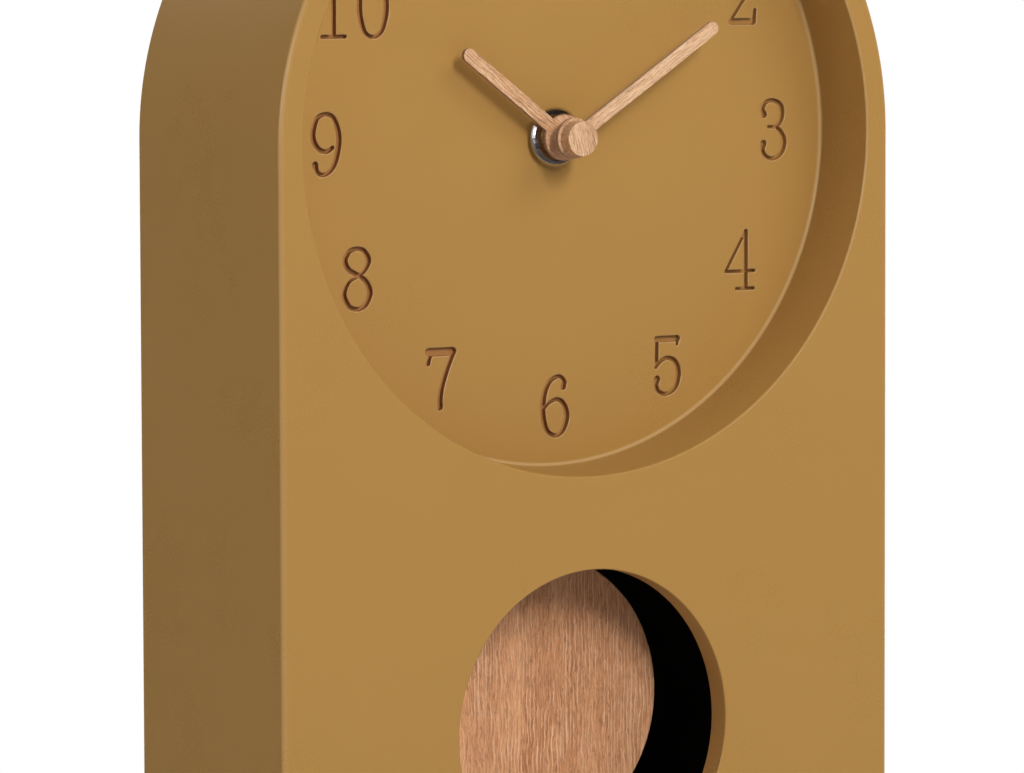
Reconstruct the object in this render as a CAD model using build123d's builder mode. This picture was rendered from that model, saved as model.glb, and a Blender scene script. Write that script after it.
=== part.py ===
from build123d import *
from math import cos, degrees, radians, sin, sqrt, tan
import os

# Desk pendulum clock, millimetres. The front faces -Y, +X is right as seen from the front, +Z is up.
# The origin lies on the table under the middle of the case.
# Depths are measured backwards from the front face, places (x, z) from the hub that carries the hands.

# Case
case_width = 145.0
case_depth = 55.0
case_wall = 2.5
front_edge_round = 0.9
base_corner_round = 3.0
moulding_gap = 0.15  # between mouldings that slip into each other
press_gap = 0.02  # between pieces pressed together
running_gap = 0.06  # between a shaft and its bearing

# Dial recess
dial_margin = 5.3
dial_depth = 15.0
dial_draft = 3.5  # degrees
dial_rim_round = 0.3
dial_floor_round = 0.6
thinnest_pocket = 1.5  # the hollow beside the dial stops where it would get narrower than this

# Pendulum window
window_radius = 32.0
window_gap = 18.8  # from the dial's rim to the window
window_base_gap = 22.5  # from the window to the table
window_wall_depth = 5.0
window_edge_round = 0.3

# Back cover
cover_thickness = 2.5
cover_recess = 0.5
cover_ledge = 1.2
access_margin = 3.0
access_below_hub = 30.0
access_corner = 4.0
flange_depth = 6.0
flange_wall = 2.0
boss_radius = 3.6
boss_inset = 6.0
boss_arch_angle = 40.0  # degrees from the top of the arch
boss_middle_drop = 40.0
screw_radius = 1.4
screw_length = 12.0
screw_head_radius = 2.6
screw_head_height = 1.5

# Rubber feet
foot_radius = 5.0
foot_stand = 0.8
foot_pocket = 0.8
foot_inset = 13.0

# Hands and what clamps the movement to the dial
nut_radius = 6.0
nut_height = 2.5
nut_slot_width = 1.2
nut_slot_depth = 1.3
nut_slot_angle = 18.0
bushing_radius = 4.0
bushing_proud = 0.4
bushing_flange = 0.8
bushing_flange_radius = 6.0
washer_thickness = 1.0
washer_radius = 9.0
hour_pipe_radius = 2.5
minute_arbor_radius = 1.7
cap_pin_radius = 0.8
hand_thickness = 1.0
hour_hand_clear = 1.3  # from the nut to the hour hand
minute_hand_clear = 2.7  # from the hour hand to the minute hand
hour_hand_reach = 29.5
minute_hand_reach = 41.0
hour_hand_width = 2.8
minute_hand_width = 2.8
hour_hub_radius = 4.6
minute_hub_radius = 4.1
hour_hand_angle = -53.1  # degrees clockwise from twelve
minute_hand_angle = 57.5  # degrees clockwise from twelve
cap_radius = 3.5
cap_height = 2.95
cap_round = 0.1

# Movement housing
movement_wall = 1.5
movement_corner = 3.0
plate_thickness = 0.8
post_radius = 1.6
post_inset = 3.6
stake_radius = 0.8
stake_proud = 0.4
bearing_depth = 0.9
wheel_clear = 0.8  # from the largest wheel to the battery bay

# Battery, AA size, and its contacts
battery_radius = 7.25
battery_length = 50.5
battery_nub_radius = 2.75
battery_nub_length = 1.2
battery_clear = 0.4
cradle_gap = 0.15
cradle_wall = 1.2
cradle_spacing = 28.0
cradle_height = 4.0
contact_space = 1.6
contact_thickness = 0.4
contact_width = 7.0
contact_height = 9.0
contact_gap = 0.1

# Wheel train: the counts of teeth, the modules and the layers
cannon_leaves = 12
motion_teeth = 36
motion_leaves = 10
hour_teeth = 40
centre_teeth = 64
train_leaves = 8
third_teeth = 60
second_teeth = 40
intermediate_teeth = 48
motion_module = 0.45
centre_module = 0.25
second_module = 0.25
rotor_module = 0.2
tooth_addendum = 0.8  # in modules, as the next four
tooth_dedendum = 1.1
wheel_tooth_tip = 0.34
wheel_tooth_root = 1.0
leaf_tip = 0.32
leaf_root = 0.58
wheel_face = 0.9
leaf_face = 1.3
layer_gap = 0.45
motion_shaft_radius = 1.2
motion_pivot_radius = 0.8
shaft_clear = 0.3
arbor_radius = 0.5
stud_radius = 0.4
rotor_arbor_radius = 0.35
wheel_hub_radius = 3.6

# Stepper motor and circuit
rotor_magnet_radius = 2.0
stator_air_gap = 0.4
stator_ring = 1.8
stator_thickness = 1.0
stator_arm = 3.2
coil_offset = 9.2
coil_length = 12.0
coil_radius = 3.0
coil_flange = 0.3
coil_flange_thickness = 0.8
core_width = 3.0
core_thickness = 1.0
coil_bore_gap = 0.1
stator_post_radius = 1.2
board_width = 15.0
board_height = 10.5
board_thickness = 0.8
board_place = (-16.5, -16.5)
chip_side = 4.0
chip_thickness = 1.0
crystal_radius = 1.0
crystal_length = 6.0

# Setting knob
knob_radius = 6.0
knob_height = 4.0
knob_clear = 0.5
knob_flutes = 18
knob_flute_radius = 0.6
knob_roof = 0.8

# Pendulum and its drive
pivot_drop = 32.0
pin_radius = 1.0
eye_radius = 3.0
eye_extra = 0.4  # the eye stands this far out of the arm on each side
eye_clear = 0.3
pin_boss_radius = 2.2
arm_width = 5.0
arm_thickness = 2.4
arm_clear = 4.0  # from the front wall of the movement to the arm
arm_below_pivot = 19.5  # from the pivot to the underside of the movement
arm_below_movement = 7.0
swing = 12.0  # degrees each way
slot_clear = 0.5
magnet_drop = 11.0  # below the pivot
magnet_radius = 3.0
magnet_ring = 1.2
drive_coil_radius = 5.2
drive_gap = 0.8
drive_post_radius = 1.4
peg_radius = 1.4
peg_rise = 2.5  # above the end of the arm
peg_clear = 0.4
peg_lip = 1.2
peg_lip_thickness = 0.6
rod_width = 3.5
rod_thickness = 1.0
rod_eye_wall = 2.0
rod_fit = 0.1
bob_rise = 3.5  # above the middle of the window
bob_radius = 29.6
bob_thickness = 3.2
bob_edge_round = 0.4
clip_width = 14.0
clip_height = 24.0
clip_base = 1.2
clip_wall = 1.2
clip_bridge = 10.0

# Places and depths that follow from the sizes above
hub = (0.0, 0.0)
upwards = 90.0  # degrees anticlockwise from the right
dial_radius = case_width / 2 - dial_margin
dial_back = dial_depth + case_wall
window_drop = dial_radius + window_gap + window_radius
hub_height = window_drop + window_radius + window_base_gap
window_place = (0.0, -window_drop)
cover_front = case_depth - cover_recess - cover_thickness
cover_back = case_depth - cover_recess
base_below_hub = hub_height - foot_stand

nut_front = dial_depth - nut_height
bushing_front = nut_front - bushing_proud
hour_hand_back = nut_front - hour_hand_clear
hour_hand_front = hour_hand_back - hand_thickness
minute_hand_back = hour_hand_front - minute_hand_clear
minute_hand_front = minute_hand_back - hand_thickness
cap_front = minute_hand_front - cap_height

movement_front = dial_back + washer_thickness
cavity_front = movement_front + movement_wall
hour_layer = cavity_front + bushing_flange + layer_gap
cannon_layer = hour_layer + leaf_face + layer_gap
plate_front = cannon_layer + leaf_face + layer_gap
plate_back = plate_front + plate_thickness
centre_layer = plate_back + layer_gap
third_layer = centre_layer + leaf_face + layer_gap
second_layer = third_layer + leaf_face + layer_gap
rotor_layer = second_layer + leaf_face + layer_gap
lid_front = rotor_layer + leaf_face + layer_gap
lid_back = lid_front + movement_wall

motion_distance = motion_module * (cannon_leaves + motion_teeth) / 2
hour_module = 2 * motion_distance / (motion_leaves + hour_teeth)
third_distance = centre_module * (train_leaves + centre_teeth) / 2
third_module = 2 * third_distance / (train_leaves + third_teeth)
intermediate_distance = second_module * (train_leaves + second_teeth) / 2
rotor_distance = intermediate_distance + rotor_module * (train_leaves + intermediate_teeth) / 2
motion_place = (0.0, -motion_distance)
third_place = (-third_distance, 0.0)
intermediate_place = (intermediate_distance, 0.0)
rotor_place = (rotor_distance, 0.0)

hour_wheel_tip = hour_module * (hour_teeth / 2 + tooth_addendum)
chamber_top = hour_wheel_tip + wheel_clear
bay_floor = chamber_top + movement_wall
bay_height = 2 * (battery_radius + battery_clear)
bay_middle = bay_floor + bay_height / 2
movement_top = bay_floor + bay_height + movement_wall
movement_bottom = -pivot_drop - arm_below_pivot
chamber_bottom = movement_bottom + movement_wall
chamber_half = battery_length / 2 + contact_space
movement_half = chamber_half + movement_wall
battery_depth = cavity_front + battery_clear + battery_radius

pivot_place = (0.0, -pivot_drop)
arm_front = cavity_front + arm_clear
rod_front = arm_front + arm_thickness
rod_back = rod_front + rod_thickness
bob_front = rod_front - clip_base - bob_thickness
eye_front = arm_front - eye_extra
eye_back = rod_front + eye_extra
magnet_place = (0.0, -pivot_drop - magnet_drop)
arm_end = movement_bottom - arm_below_movement
peg_place = (0.0, arm_end + peg_rise)
rod_eye_radius = peg_radius + rod_fit + rod_eye_wall
bob_drop = window_drop - bob_rise
bob_place = (0.0, -bob_drop)
drive_coil_front = rod_front + drive_gap

rotor_magnet_front = centre_layer + leaf_face
rotor_magnet_back = second_layer
stator_front = (rotor_magnet_front + rotor_magnet_back - stator_thickness) / 2
stator_back = stator_front + stator_thickness
stator_hole = rotor_magnet_radius + stator_air_gap
coil_x = rotor_distance + coil_offset
core_half = coil_length / 2 + coil_flange_thickness + stator_arm
core_top = stator_hole + stator_ring
core_middle = core_top - core_half
core_bottom = core_top - 2 * core_half


def front_plane(depth, at=hub, turn=0.0):
    """Plane parallel to the front face, its origin at a place from the hub, turned anticlockwise."""
    return Plane(
        origin=(at[0], depth - case_depth / 2, hub_height + at[1]),
        x_dir=(cos(radians(turn)), 0, sin(radians(turn))),
        z_dir=(0, -1, 0),
    )


def side_plane(x, depth, z):
    """Plane across the case, with its own x running backwards and its own y running up."""
    return Plane(
        origin=(x, depth - case_depth / 2, hub_height + z),
        x_dir=(0, 1, 0),
        z_dir=(1, 0, 0),
    )


def level_plane(x, depth, z):
    """Level plane, with its own x to the right and its own y running backwards."""
    return Plane((x, depth - case_depth / 2, hub_height + z))


def bar(at, radius, start, end, mode=Mode.ADD, taper=0.0):
    """Round bar or hole along the depth."""
    with BuildSketch(front_plane(start, at)) as section:
        Circle(radius)
    extrude(section.sketch, amount=start - end, taper=taper, mode=mode)


def block(left, right, low, high, start, end, mode=Mode.ADD, corner=0.0):
    """Block or pocket between two places and two depths, with rounded corners if asked."""
    middle = ((left + right) / 2, (low + high) / 2)
    with BuildSketch(front_plane(start, middle)) as section:
        if corner:
            RectangleRounded(right - left, high - low, corner)
        else:
            Rectangle(right - left, high - low)
    extrude(section.sketch, amount=start - end, mode=mode)


def arch(depth, inset):
    """Outline of the case at a depth, drawn in from its outside by an inset."""
    half = case_width / 2 - inset
    base = inset - base_below_hub
    with BuildSketch(front_plane(depth)) as outline:
        with BuildLine():
            Polyline((-half, 0), (-half, base), (half, base), (half, 0))
            CenterArc((0, 0), half, 0, 180)
        make_face()
        fillet(outline.vertices().group_by(Axis.Y)[0], radius=base_corner_round)
    return outline.sketch


def toothed(at, teeth, module, layer, facing, leaves=False):
    """Ring of straight-flanked teeth in its layer.

    A wheel has a tooth on the line of centres, facing in degrees anticlockwise from the right.
    A pinion has a space there and fills its layer.
    """
    tip = module * (teeth / 2 + tooth_addendum)
    root = module * (teeth / 2 - tooth_dedendum)
    half_tip = degrees(module * (leaf_tip if leaves else wheel_tooth_tip) / tip)
    half_root = degrees(module * (leaf_root if leaves else wheel_tooth_root) / root)
    face = leaf_face if leaves else wheel_face
    start = layer + (leaf_face - face) / 2
    corners = []
    for tooth in range(teeth):
        middle = facing + 360 / teeth * (tooth + (0.5 if leaves else 0.0))
        for radius, angle in (
            (root, middle - half_root),
            (tip, middle - half_tip),
            (tip, middle + half_tip),
            (root, middle + half_root),
        ):
            corners.append((radius * cos(radians(angle)), radius * sin(radians(angle))))
    with BuildSketch(front_plane(start, at)) as section:
        with BuildLine():
            Polyline(*corners, close=True)
        make_face()
    extrude(section.sketch, amount=-face)


def finish(piece, name):
    """Label a finished piece and write its file."""
    piece.part.label = name
    export_step(piece.part, f"parts/{name}.step")


os.makedirs("parts", exist_ok=True)

# Case: arched shell open at the back, with the dial as a deep round recess in its front
boss_reach = case_width / 2 - boss_inset
boss_places = []
for side in (-1, 1):
    arch_angle = radians(boss_arch_angle)
    boss_places.append((side * boss_reach * sin(arch_angle), boss_reach * cos(arch_angle)))
    boss_places.append((side * boss_reach, -boss_middle_drop))
    boss_places.append((side * boss_reach, boss_inset - base_below_hub))

with BuildPart() as case_shell:
    extrude(arch(0, 0), amount=-case_depth)
    fillet(case_shell.faces().sort_by(Axis.Y)[0].edges(), radius=front_edge_round)
    # hollow behind the dial, and below it where the dial leaves room
    extrude(arch(dial_back, case_wall), amount=dial_back - case_depth, mode=Mode.SUBTRACT)
    cup_radius = dial_radius + case_wall
    inside_half = case_width / 2 - case_wall
    pocket_top = -sqrt(inside_half**2 - (inside_half - thinnest_pocket) ** 2)
    pocket_base = case_wall - base_below_hub
    with BuildSketch(front_plane(case_wall)) as pocket:
        with Locations((0, (pocket_top + pocket_base) / 2)):
            Rectangle(2 * inside_half, pocket_top - pocket_base)
        Circle(cup_radius, mode=Mode.SUBTRACT)
    extrude(pocket.sketch, amount=case_wall - dial_back, mode=Mode.SUBTRACT)
    # ledge for the back cover, screw bosses and the collar of the window
    extrude(arch(cover_front, case_wall - cover_ledge), amount=cover_front - case_depth, mode=Mode.SUBTRACT)
    for place in boss_places:
        bar(place, boss_radius, case_wall / 2, cover_front)
    bar(window_place, window_radius + case_wall, case_wall / 2, window_wall_depth)
    for place in boss_places:
        bar(place, screw_radius + press_gap, cover_front - screw_length, cover_front, mode=Mode.SUBTRACT)
    # dial recess with its draft and rounds
    bar(hub, dial_radius, 0, dial_depth, mode=Mode.SUBTRACT, taper=dial_draft)
    fillet(case_shell.edges(Select.LAST).sort_by(Axis.Y)[-1], radius=dial_floor_round)
    circles = case_shell.edges().filter_by(GeomType.CIRCLE)
    fillet(circles.sort_by(lambda edge: abs(edge.radius - dial_radius))[0], radius=dial_rim_round)
    # window, hole for the bushing, pockets for the feet
    bar(window_place, window_radius, 0, window_wall_depth, mode=Mode.SUBTRACT)
    fillet(case_shell.edges(Select.LAST).sort_by(Axis.Y)[0], radius=window_edge_round)
    bar(hub, bushing_radius + moulding_gap, dial_depth, dial_back, mode=Mode.SUBTRACT)
    with BuildSketch(Plane.XY.offset(foot_stand)) as pockets:
        with GridLocations(case_width - 2 * foot_inset, case_depth - 2 * foot_inset, 2, 2):
            Circle(foot_radius + moulding_gap)
    extrude(pockets.sketch, amount=foot_pocket, mode=Mode.SUBTRACT)
finish(case_shell, "case_shell")

with BuildPart() as foot_pads:
    with BuildSketch(Plane.XY) as pads:
        with GridLocations(case_width - 2 * foot_inset, case_depth - 2 * foot_inset, 2, 2):
            Circle(foot_radius)
    extrude(pads.sketch, amount=foot_stand + foot_pocket)
finish(foot_pads, "foot_pads")

# Back cover: flat panel let into the ledge, with a flanged opening behind the movement
access_half = movement_half + access_margin
access_top = movement_top + access_margin
head_seat = cover_back - screw_head_height
with BuildPart() as back_cover:
    extrude(arch(cover_front, case_wall - cover_ledge + moulding_gap), amount=-cover_thickness)
    block(
        -access_half - flange_wall,
        access_half + flange_wall,
        -access_below_hub - flange_wall,
        access_top + flange_wall,
        cover_front - flange_depth,
        cover_front,
        corner=access_corner + flange_wall,
    )
    block(
        -access_half,
        access_half,
        -access_below_hub,
        access_top,
        cover_front - flange_depth,
        cover_back,
        corner=access_corner,
        mode=Mode.SUBTRACT,
    )
    for place in boss_places:
        bar(place, screw_radius + moulding_gap, cover_front, cover_back, mode=Mode.SUBTRACT)
        bar(place, screw_head_radius + moulding_gap, head_seat, cover_back, mode=Mode.SUBTRACT)
finish(back_cover, "back_cover")

with BuildPart() as back_cover_screws:
    for place in boss_places:
        bar(place, screw_head_radius, head_seat, cover_back)
        bar(place, screw_radius, head_seat - screw_length, head_seat)
finish(back_cover_screws, "back_cover_screws")

# Clamp of the movement: flanged bushing through the dial, round slotted nut, rubber washer
with BuildPart() as threaded_bushing:
    bar(hub, bushing_radius, bushing_front, cavity_front)
    bar(hub, bushing_flange_radius, cavity_front, cavity_front + bushing_flange)
    bar(hub, hour_pipe_radius + running_gap, bushing_front, cavity_front + bushing_flange, mode=Mode.SUBTRACT)
finish(threaded_bushing, "threaded_bushing")

with BuildPart() as fixing_nut:
    bar(hub, nut_radius, nut_front, dial_depth)
    fillet(fixing_nut.edges().sort_by(Axis.Y)[0], radius=nut_height / 3)
    for half_turn in (0, 180):
        with BuildSketch(front_plane(nut_front, hub, nut_slot_angle + half_turn)) as slot:
            with Locations((nut_radius, 0)):
                Rectangle(2 * nut_slot_depth, nut_slot_width)
        extrude(slot.sketch, amount=-nut_height, mode=Mode.SUBTRACT)
    bar(hub, bushing_radius + press_gap, nut_front, dial_depth, mode=Mode.SUBTRACT)
finish(fixing_nut, "fixing_nut")

with BuildPart() as dial_washer:
    bar(hub, washer_radius, dial_back, movement_front)
    bar(hub, bushing_radius + moulding_gap, dial_back, movement_front, mode=Mode.SUBTRACT)
finish(dial_washer, "dial_washer")


# Hands: a round hub and a bar with a rounded end, pressed on their pipe and arbor
def hand_blank(depth, angle, hub_radius, reach, width, bore):
    with BuildSketch(front_plane(depth, hub, upwards - angle)) as outline:
        Circle(hub_radius)
        with Locations(((reach - width / 2) / 2, 0)):
            Rectangle(reach - width / 2, width)
        with Locations((reach - width / 2, 0)):
            Circle(width / 2)
        Circle(bore, mode=Mode.SUBTRACT)
    extrude(outline.sketch, amount=-hand_thickness)


with BuildPart() as hour_hand:
    hour_bore = hour_pipe_radius + press_gap
    hand_blank(
        hour_hand_front,
        hour_hand_angle,
        hour_hub_radius,
        hour_hand_reach,
        hour_hand_width,
        hour_bore,
    )
finish(hour_hand, "hour_hand")

with BuildPart() as minute_hand:
    minute_bore = minute_arbor_radius + press_gap
    hand_blank(
        minute_hand_front,
        minute_hand_angle,
        minute_hub_radius,
        minute_hand_reach,
        minute_hand_width,
        minute_bore,
    )
finish(minute_hand, "minute_hand")

cap_pin_front = cap_front + cap_height / 3
with BuildPart() as hand_cap:
    bar(hub, cap_radius, cap_front, minute_hand_front)
    fillet(hand_cap.edges().sort_by(Axis.Y)[0], radius=cap_round)
    bar(hub, cap_pin_radius + press_gap, cap_pin_front, minute_hand_front, mode=Mode.SUBTRACT)
finish(hand_cap, "hand_cap")

# Motion work: hour wheel on its pipe, cannon pinion on the minute arbor, motion wheel and its shaft
with BuildPart() as hour_wheel:
    toothed(hub, hour_teeth, hour_module, hour_layer, -upwards)
    bar(hub, wheel_hub_radius, cavity_front + bushing_flange + running_gap, hour_layer + leaf_face)
    bar(hub, hour_pipe_radius, hour_hand_front, hour_layer)
    bar(hub, minute_arbor_radius + running_gap, hour_hand_front, hour_layer + leaf_face, mode=Mode.SUBTRACT)
finish(hour_wheel, "hour_wheel")

with BuildPart() as minute_arbor:
    bar(hub, minute_arbor_radius, minute_hand_front, centre_layer + leaf_face)
    bar(hub, cap_pin_radius, cap_pin_front, minute_hand_front)
    toothed(hub, cannon_leaves, motion_module, cannon_layer, -upwards, leaves=True)
    bar(hub, arbor_radius + running_gap, cavity_front, centre_layer + leaf_face, mode=Mode.SUBTRACT)
finish(minute_arbor, "minute_arbor")

with BuildPart() as centre_wheel:
    toothed(hub, centre_teeth, centre_module, centre_layer, 180)
    bar(hub, wheel_hub_radius, centre_layer, centre_layer + leaf_face)
    bar(hub, minute_arbor_radius + press_gap, centre_layer, centre_layer + leaf_face, mode=Mode.SUBTRACT)
finish(centre_wheel, "centre_wheel")

knob_front = lid_back + knob_clear
knob_back = knob_front + knob_height
motion_pivot_front = cavity_front - bearing_depth
with BuildPart() as motion_wheel:
    bar(motion_place, motion_pivot_radius, motion_pivot_front, hour_layer)
    toothed(motion_place, motion_leaves, hour_module, hour_layer, upwards, leaves=True)
    bar(motion_place, motion_shaft_radius, hour_layer, knob_back - knob_roof)
    toothed(motion_place, motion_teeth, motion_module, cannon_layer, upwards)
finish(motion_wheel, "motion_wheel")

with BuildPart() as setting_knob:
    bar(motion_place, knob_radius, knob_front, knob_back)
    with BuildSketch(front_plane(knob_front, motion_place)) as flutes:
        with PolarLocations(knob_radius, knob_flutes):
            Circle(knob_flute_radius)
    extrude(flutes.sketch, amount=-knob_height, mode=Mode.SUBTRACT)
    bar(motion_place, motion_shaft_radius + press_gap, knob_front, knob_back - knob_roof, mode=Mode.SUBTRACT)
finish(setting_knob, "setting_knob")

# Going train: third, second and intermediate wheels and the rotor of the stepper motor
arbor_back = lid_front + bearing_depth
with BuildPart() as third_wheel:
    bar(third_place, arbor_radius, plate_front, arbor_back)
    toothed(third_place, train_leaves, centre_module, centre_layer, 0, leaves=True)
    toothed(third_place, third_teeth, third_module, third_layer, 0)
finish(third_wheel, "third_wheel")

with BuildPart() as second_wheel:
    bar(hub, arbor_radius, cavity_front + running_gap, arbor_back)
    toothed(hub, train_leaves, third_module, third_layer, 180, leaves=True)
    toothed(hub, second_teeth, second_module, second_layer, 0)
finish(second_wheel, "second_wheel")

with BuildPart() as intermediate_wheel:
    toothed(intermediate_place, train_leaves, second_module, second_layer, 180, leaves=True)
    neck = second_module * (train_leaves / 2 - tooth_dedendum)
    bar(intermediate_place, neck, second_layer, rotor_layer + leaf_face)
    toothed(intermediate_place, intermediate_teeth, rotor_module, rotor_layer, 0)
    stud_bore = stud_radius + running_gap
    bar(intermediate_place, stud_bore, second_layer, rotor_layer + leaf_face, mode=Mode.SUBTRACT)
finish(intermediate_wheel, "intermediate_wheel")

with BuildPart() as rotor_pinion:
    bar(rotor_place, rotor_arbor_radius, plate_front, arbor_back)
    toothed(rotor_place, train_leaves, rotor_module, rotor_layer, 180, leaves=True)
finish(rotor_pinion, "rotor_pinion")

with BuildPart() as rotor_magnet:
    bar(rotor_place, rotor_magnet_radius, rotor_magnet_front, rotor_magnet_back)
    rotor_bore = rotor_arbor_radius + press_gap
    bar(rotor_place, rotor_bore, rotor_magnet_front, rotor_magnet_back, mode=Mode.SUBTRACT)
finish(rotor_magnet, "rotor_magnet")

# Stepper motor: C-shaped stator round the rotor, closed by the core that carries the coil
core_right = coil_x + core_width / 2
with BuildPart() as stator:
    bar(rotor_place, stator_hole + stator_ring, stator_front, stator_back)
    leg_left = rotor_distance - stator_arm / 2
    block(rotor_distance, core_right, core_top - stator_arm, core_top, stator_front, stator_back)
    block(leg_left, leg_left + stator_arm, core_bottom, 0, stator_front, stator_back)
    block(leg_left, core_right, core_bottom, core_bottom + stator_arm, stator_front, stator_back)
    bar(rotor_place, stator_hole, stator_front, stator_back, mode=Mode.SUBTRACT)
finish(stator, "stator")

with BuildPart() as motor_core:
    core_left = core_right - core_width
    block(core_left, core_right, core_bottom, core_top, stator_back, stator_back + core_thickness)
finish(motor_core, "motor_core")

coil_depth = stator_back + core_thickness / 2
with BuildPart() as motor_coil:
    for radius, half in (
        (coil_radius, coil_length / 2),
        (coil_radius + coil_flange, coil_length / 2 + coil_flange_thickness),
    ):
        with BuildSketch(level_plane(coil_x, coil_depth, core_middle)) as turns:
            Circle(radius)
        extrude(turns.sketch, amount=half, both=True)
    groove = coil_length / 2
    with BuildSketch(level_plane(coil_x, coil_depth, core_middle)) as waist:
        Circle(coil_radius + coil_flange)
        Circle(coil_radius, mode=Mode.SUBTRACT)
    extrude(waist.sketch, amount=groove, both=True, mode=Mode.SUBTRACT)
    with BuildSketch(level_plane(coil_x, coil_depth, core_middle)) as bore:
        Rectangle(core_width + 2 * coil_bore_gap, core_thickness + 2 * coil_bore_gap)
    extrude(bore.sketch, amount=core_half, both=True, mode=Mode.SUBTRACT)
finish(motor_coil, "motor_coil")

# Circuit board on the train plate, with its chip and crystal
board_left, board_low = board_place[0] - board_width / 2, board_place[1] - board_height / 2
board_back = plate_back + board_thickness
with BuildPart() as circuit_board:
    block(board_left, board_left + board_width, board_low, board_low + board_height, plate_back, board_back)
finish(circuit_board, "circuit_board")

chip_place = (board_place[0] + board_width / 4, board_place[1])
with BuildPart() as circuit_chip:
    bar(chip_place, chip_side / 2, board_back, board_back + chip_thickness)
    fillet(circuit_chip.edges().sort_by(Axis.Y)[-1], radius=chip_thickness / 2)
finish(circuit_chip, "circuit_chip")

crystal_x = board_place[0] - board_width / 4
with BuildPart() as quartz_crystal:
    with BuildSketch(level_plane(crystal_x, board_back + crystal_radius, board_place[1])) as can:
        Circle(crystal_radius)
    extrude(can.sketch, amount=crystal_length / 2, both=True)
finish(quartz_crystal, "quartz_crystal")

# Movement housing: front case with battery bay, train plate on four posts, rear lid with the bearings
post_places = []
for side in (-1, 1):
    post_places.append((side * (chamber_half - post_inset), chamber_top - post_inset))
    post_places.append((side * (chamber_half - post_inset), eye_radius + post_inset - pivot_drop))
plate_half = chamber_half - post_inset + post_radius
slot_half = arm_below_pivot * tan(radians(swing)) + arm_width / 2 / cos(radians(swing)) + slot_clear
stake_fit = stake_radius + press_gap

with BuildPart() as movement_case:
    block(
        -movement_half,
        movement_half,
        movement_bottom,
        movement_top,
        movement_front,
        lid_front,
        corner=movement_corner,
    )
    for low, high in ((chamber_bottom, chamber_top), (bay_floor, bay_floor + bay_height)):
        block(-chamber_half, chamber_half, low, high, cavity_front, lid_front, mode=Mode.SUBTRACT)
    for place in post_places:
        bar(place, post_radius, cavity_front - movement_wall / 2, plate_front)
        bar(place, stake_radius, plate_front, plate_back + stake_proud)
    # bearing of the motion wheel, boss of the pendulum pin, hole for the bushing
    bar(motion_place, post_radius, cavity_front - movement_wall / 2, cavity_front + bushing_flange)
    pivot_bore = motion_pivot_radius + running_gap
    bar(motion_place, pivot_bore, motion_pivot_front, cavity_front + bushing_flange, mode=Mode.SUBTRACT)
    bar(pivot_place, pin_boss_radius, cavity_front - movement_wall / 2, eye_front - eye_clear)
    pin_bore = pin_radius + press_gap
    bar(pivot_place, pin_bore, cavity_front - bearing_depth, eye_front - eye_clear, mode=Mode.SUBTRACT)
    bar(hub, bushing_radius + press_gap, movement_front, cavity_front, mode=Mode.SUBTRACT)
    # slot that lets the pendulum arm out and stops its swing
    block(
        -slot_half,
        slot_half,
        movement_bottom,
        chamber_bottom,
        arm_front - slot_clear,
        rod_front + slot_clear,
        mode=Mode.SUBTRACT,
    )
    # two cradle ribs under the battery
    for rib in (-1, 1):
        rib_left = rib * cradle_spacing / 2 - cradle_wall / 2
        with BuildSketch(side_plane(rib_left, battery_depth, bay_middle)) as cradle:
            with Locations((cradle_height / 2 - battery_radius - battery_clear, 0)):
                Rectangle(cradle_height, bay_height)
            Circle(battery_radius + cradle_gap, mode=Mode.SUBTRACT)
        extrude(cradle.sketch, amount=cradle_wall)
finish(movement_case, "movement_case")

with BuildPart() as train_plate:
    block(
        -plate_half,
        plate_half,
        post_places[1][1] - post_radius,
        post_places[0][1] + post_radius,
        plate_front,
        plate_back,
        corner=post_radius,
    )
    for place in post_places:
        bar(place, stake_fit, plate_front, plate_back, mode=Mode.SUBTRACT)
    for place, radius in (
        (hub, minute_arbor_radius + shaft_clear),
        (motion_place, motion_shaft_radius + shaft_clear),
        (third_place, arbor_radius + running_gap),
        (rotor_place, rotor_arbor_radius + running_gap),
    ):
        bar(place, radius, plate_front, plate_back, mode=Mode.SUBTRACT)
    for z in (core_top - stator_arm / 2, core_bottom + stator_arm / 2):
        bar((coil_x, z), stator_post_radius, plate_front + plate_thickness / 2, stator_front)
finish(train_plate, "train_plate")

with BuildPart() as movement_cover:
    block(
        -movement_half,
        movement_half,
        movement_bottom,
        movement_top,
        lid_front,
        lid_back,
        corner=movement_corner,
    )
    block(-movement_half, movement_half, bay_floor, movement_top, lid_front, lid_back, mode=Mode.SUBTRACT)
    lid_middle = lid_front + movement_wall / 2
    bar(intermediate_place, stud_radius, second_layer, lid_middle)
    bar(pivot_place, pin_boss_radius, eye_back + eye_clear, lid_middle)
    bar(magnet_place, drive_post_radius, drive_coil_front, lid_middle)
    for place, radius in (
        (hub, arbor_radius + running_gap),
        (third_place, arbor_radius + running_gap),
        (rotor_place, rotor_arbor_radius + running_gap),
    ):
        bar(place, radius, lid_front, arbor_back + running_gap, mode=Mode.SUBTRACT)
    bar(pivot_place, pin_radius + press_gap, eye_back + eye_clear, arbor_back, mode=Mode.SUBTRACT)
    bar(motion_place, motion_shaft_radius + running_gap, lid_front, lid_back, mode=Mode.SUBTRACT)
finish(movement_cover, "movement_cover")

# Battery with its raised pole, and the bowed contacts at its ends
battery_left = -battery_length / 2
with BuildPart() as battery:
    with BuildSketch(side_plane(battery_left + battery_nub_length, battery_depth, bay_middle)) as can:
        Circle(battery_radius)
    extrude(can.sketch, amount=battery_length - battery_nub_length)
    fillet(battery.edges(), radius=battery_nub_length / 2)
    with BuildSketch(side_plane(battery_left, battery_depth, bay_middle)) as nub:
        Circle(battery_nub_radius)
    extrude(nub.sketch, amount=2 * battery_nub_length)
finish(battery, "battery")


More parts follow.
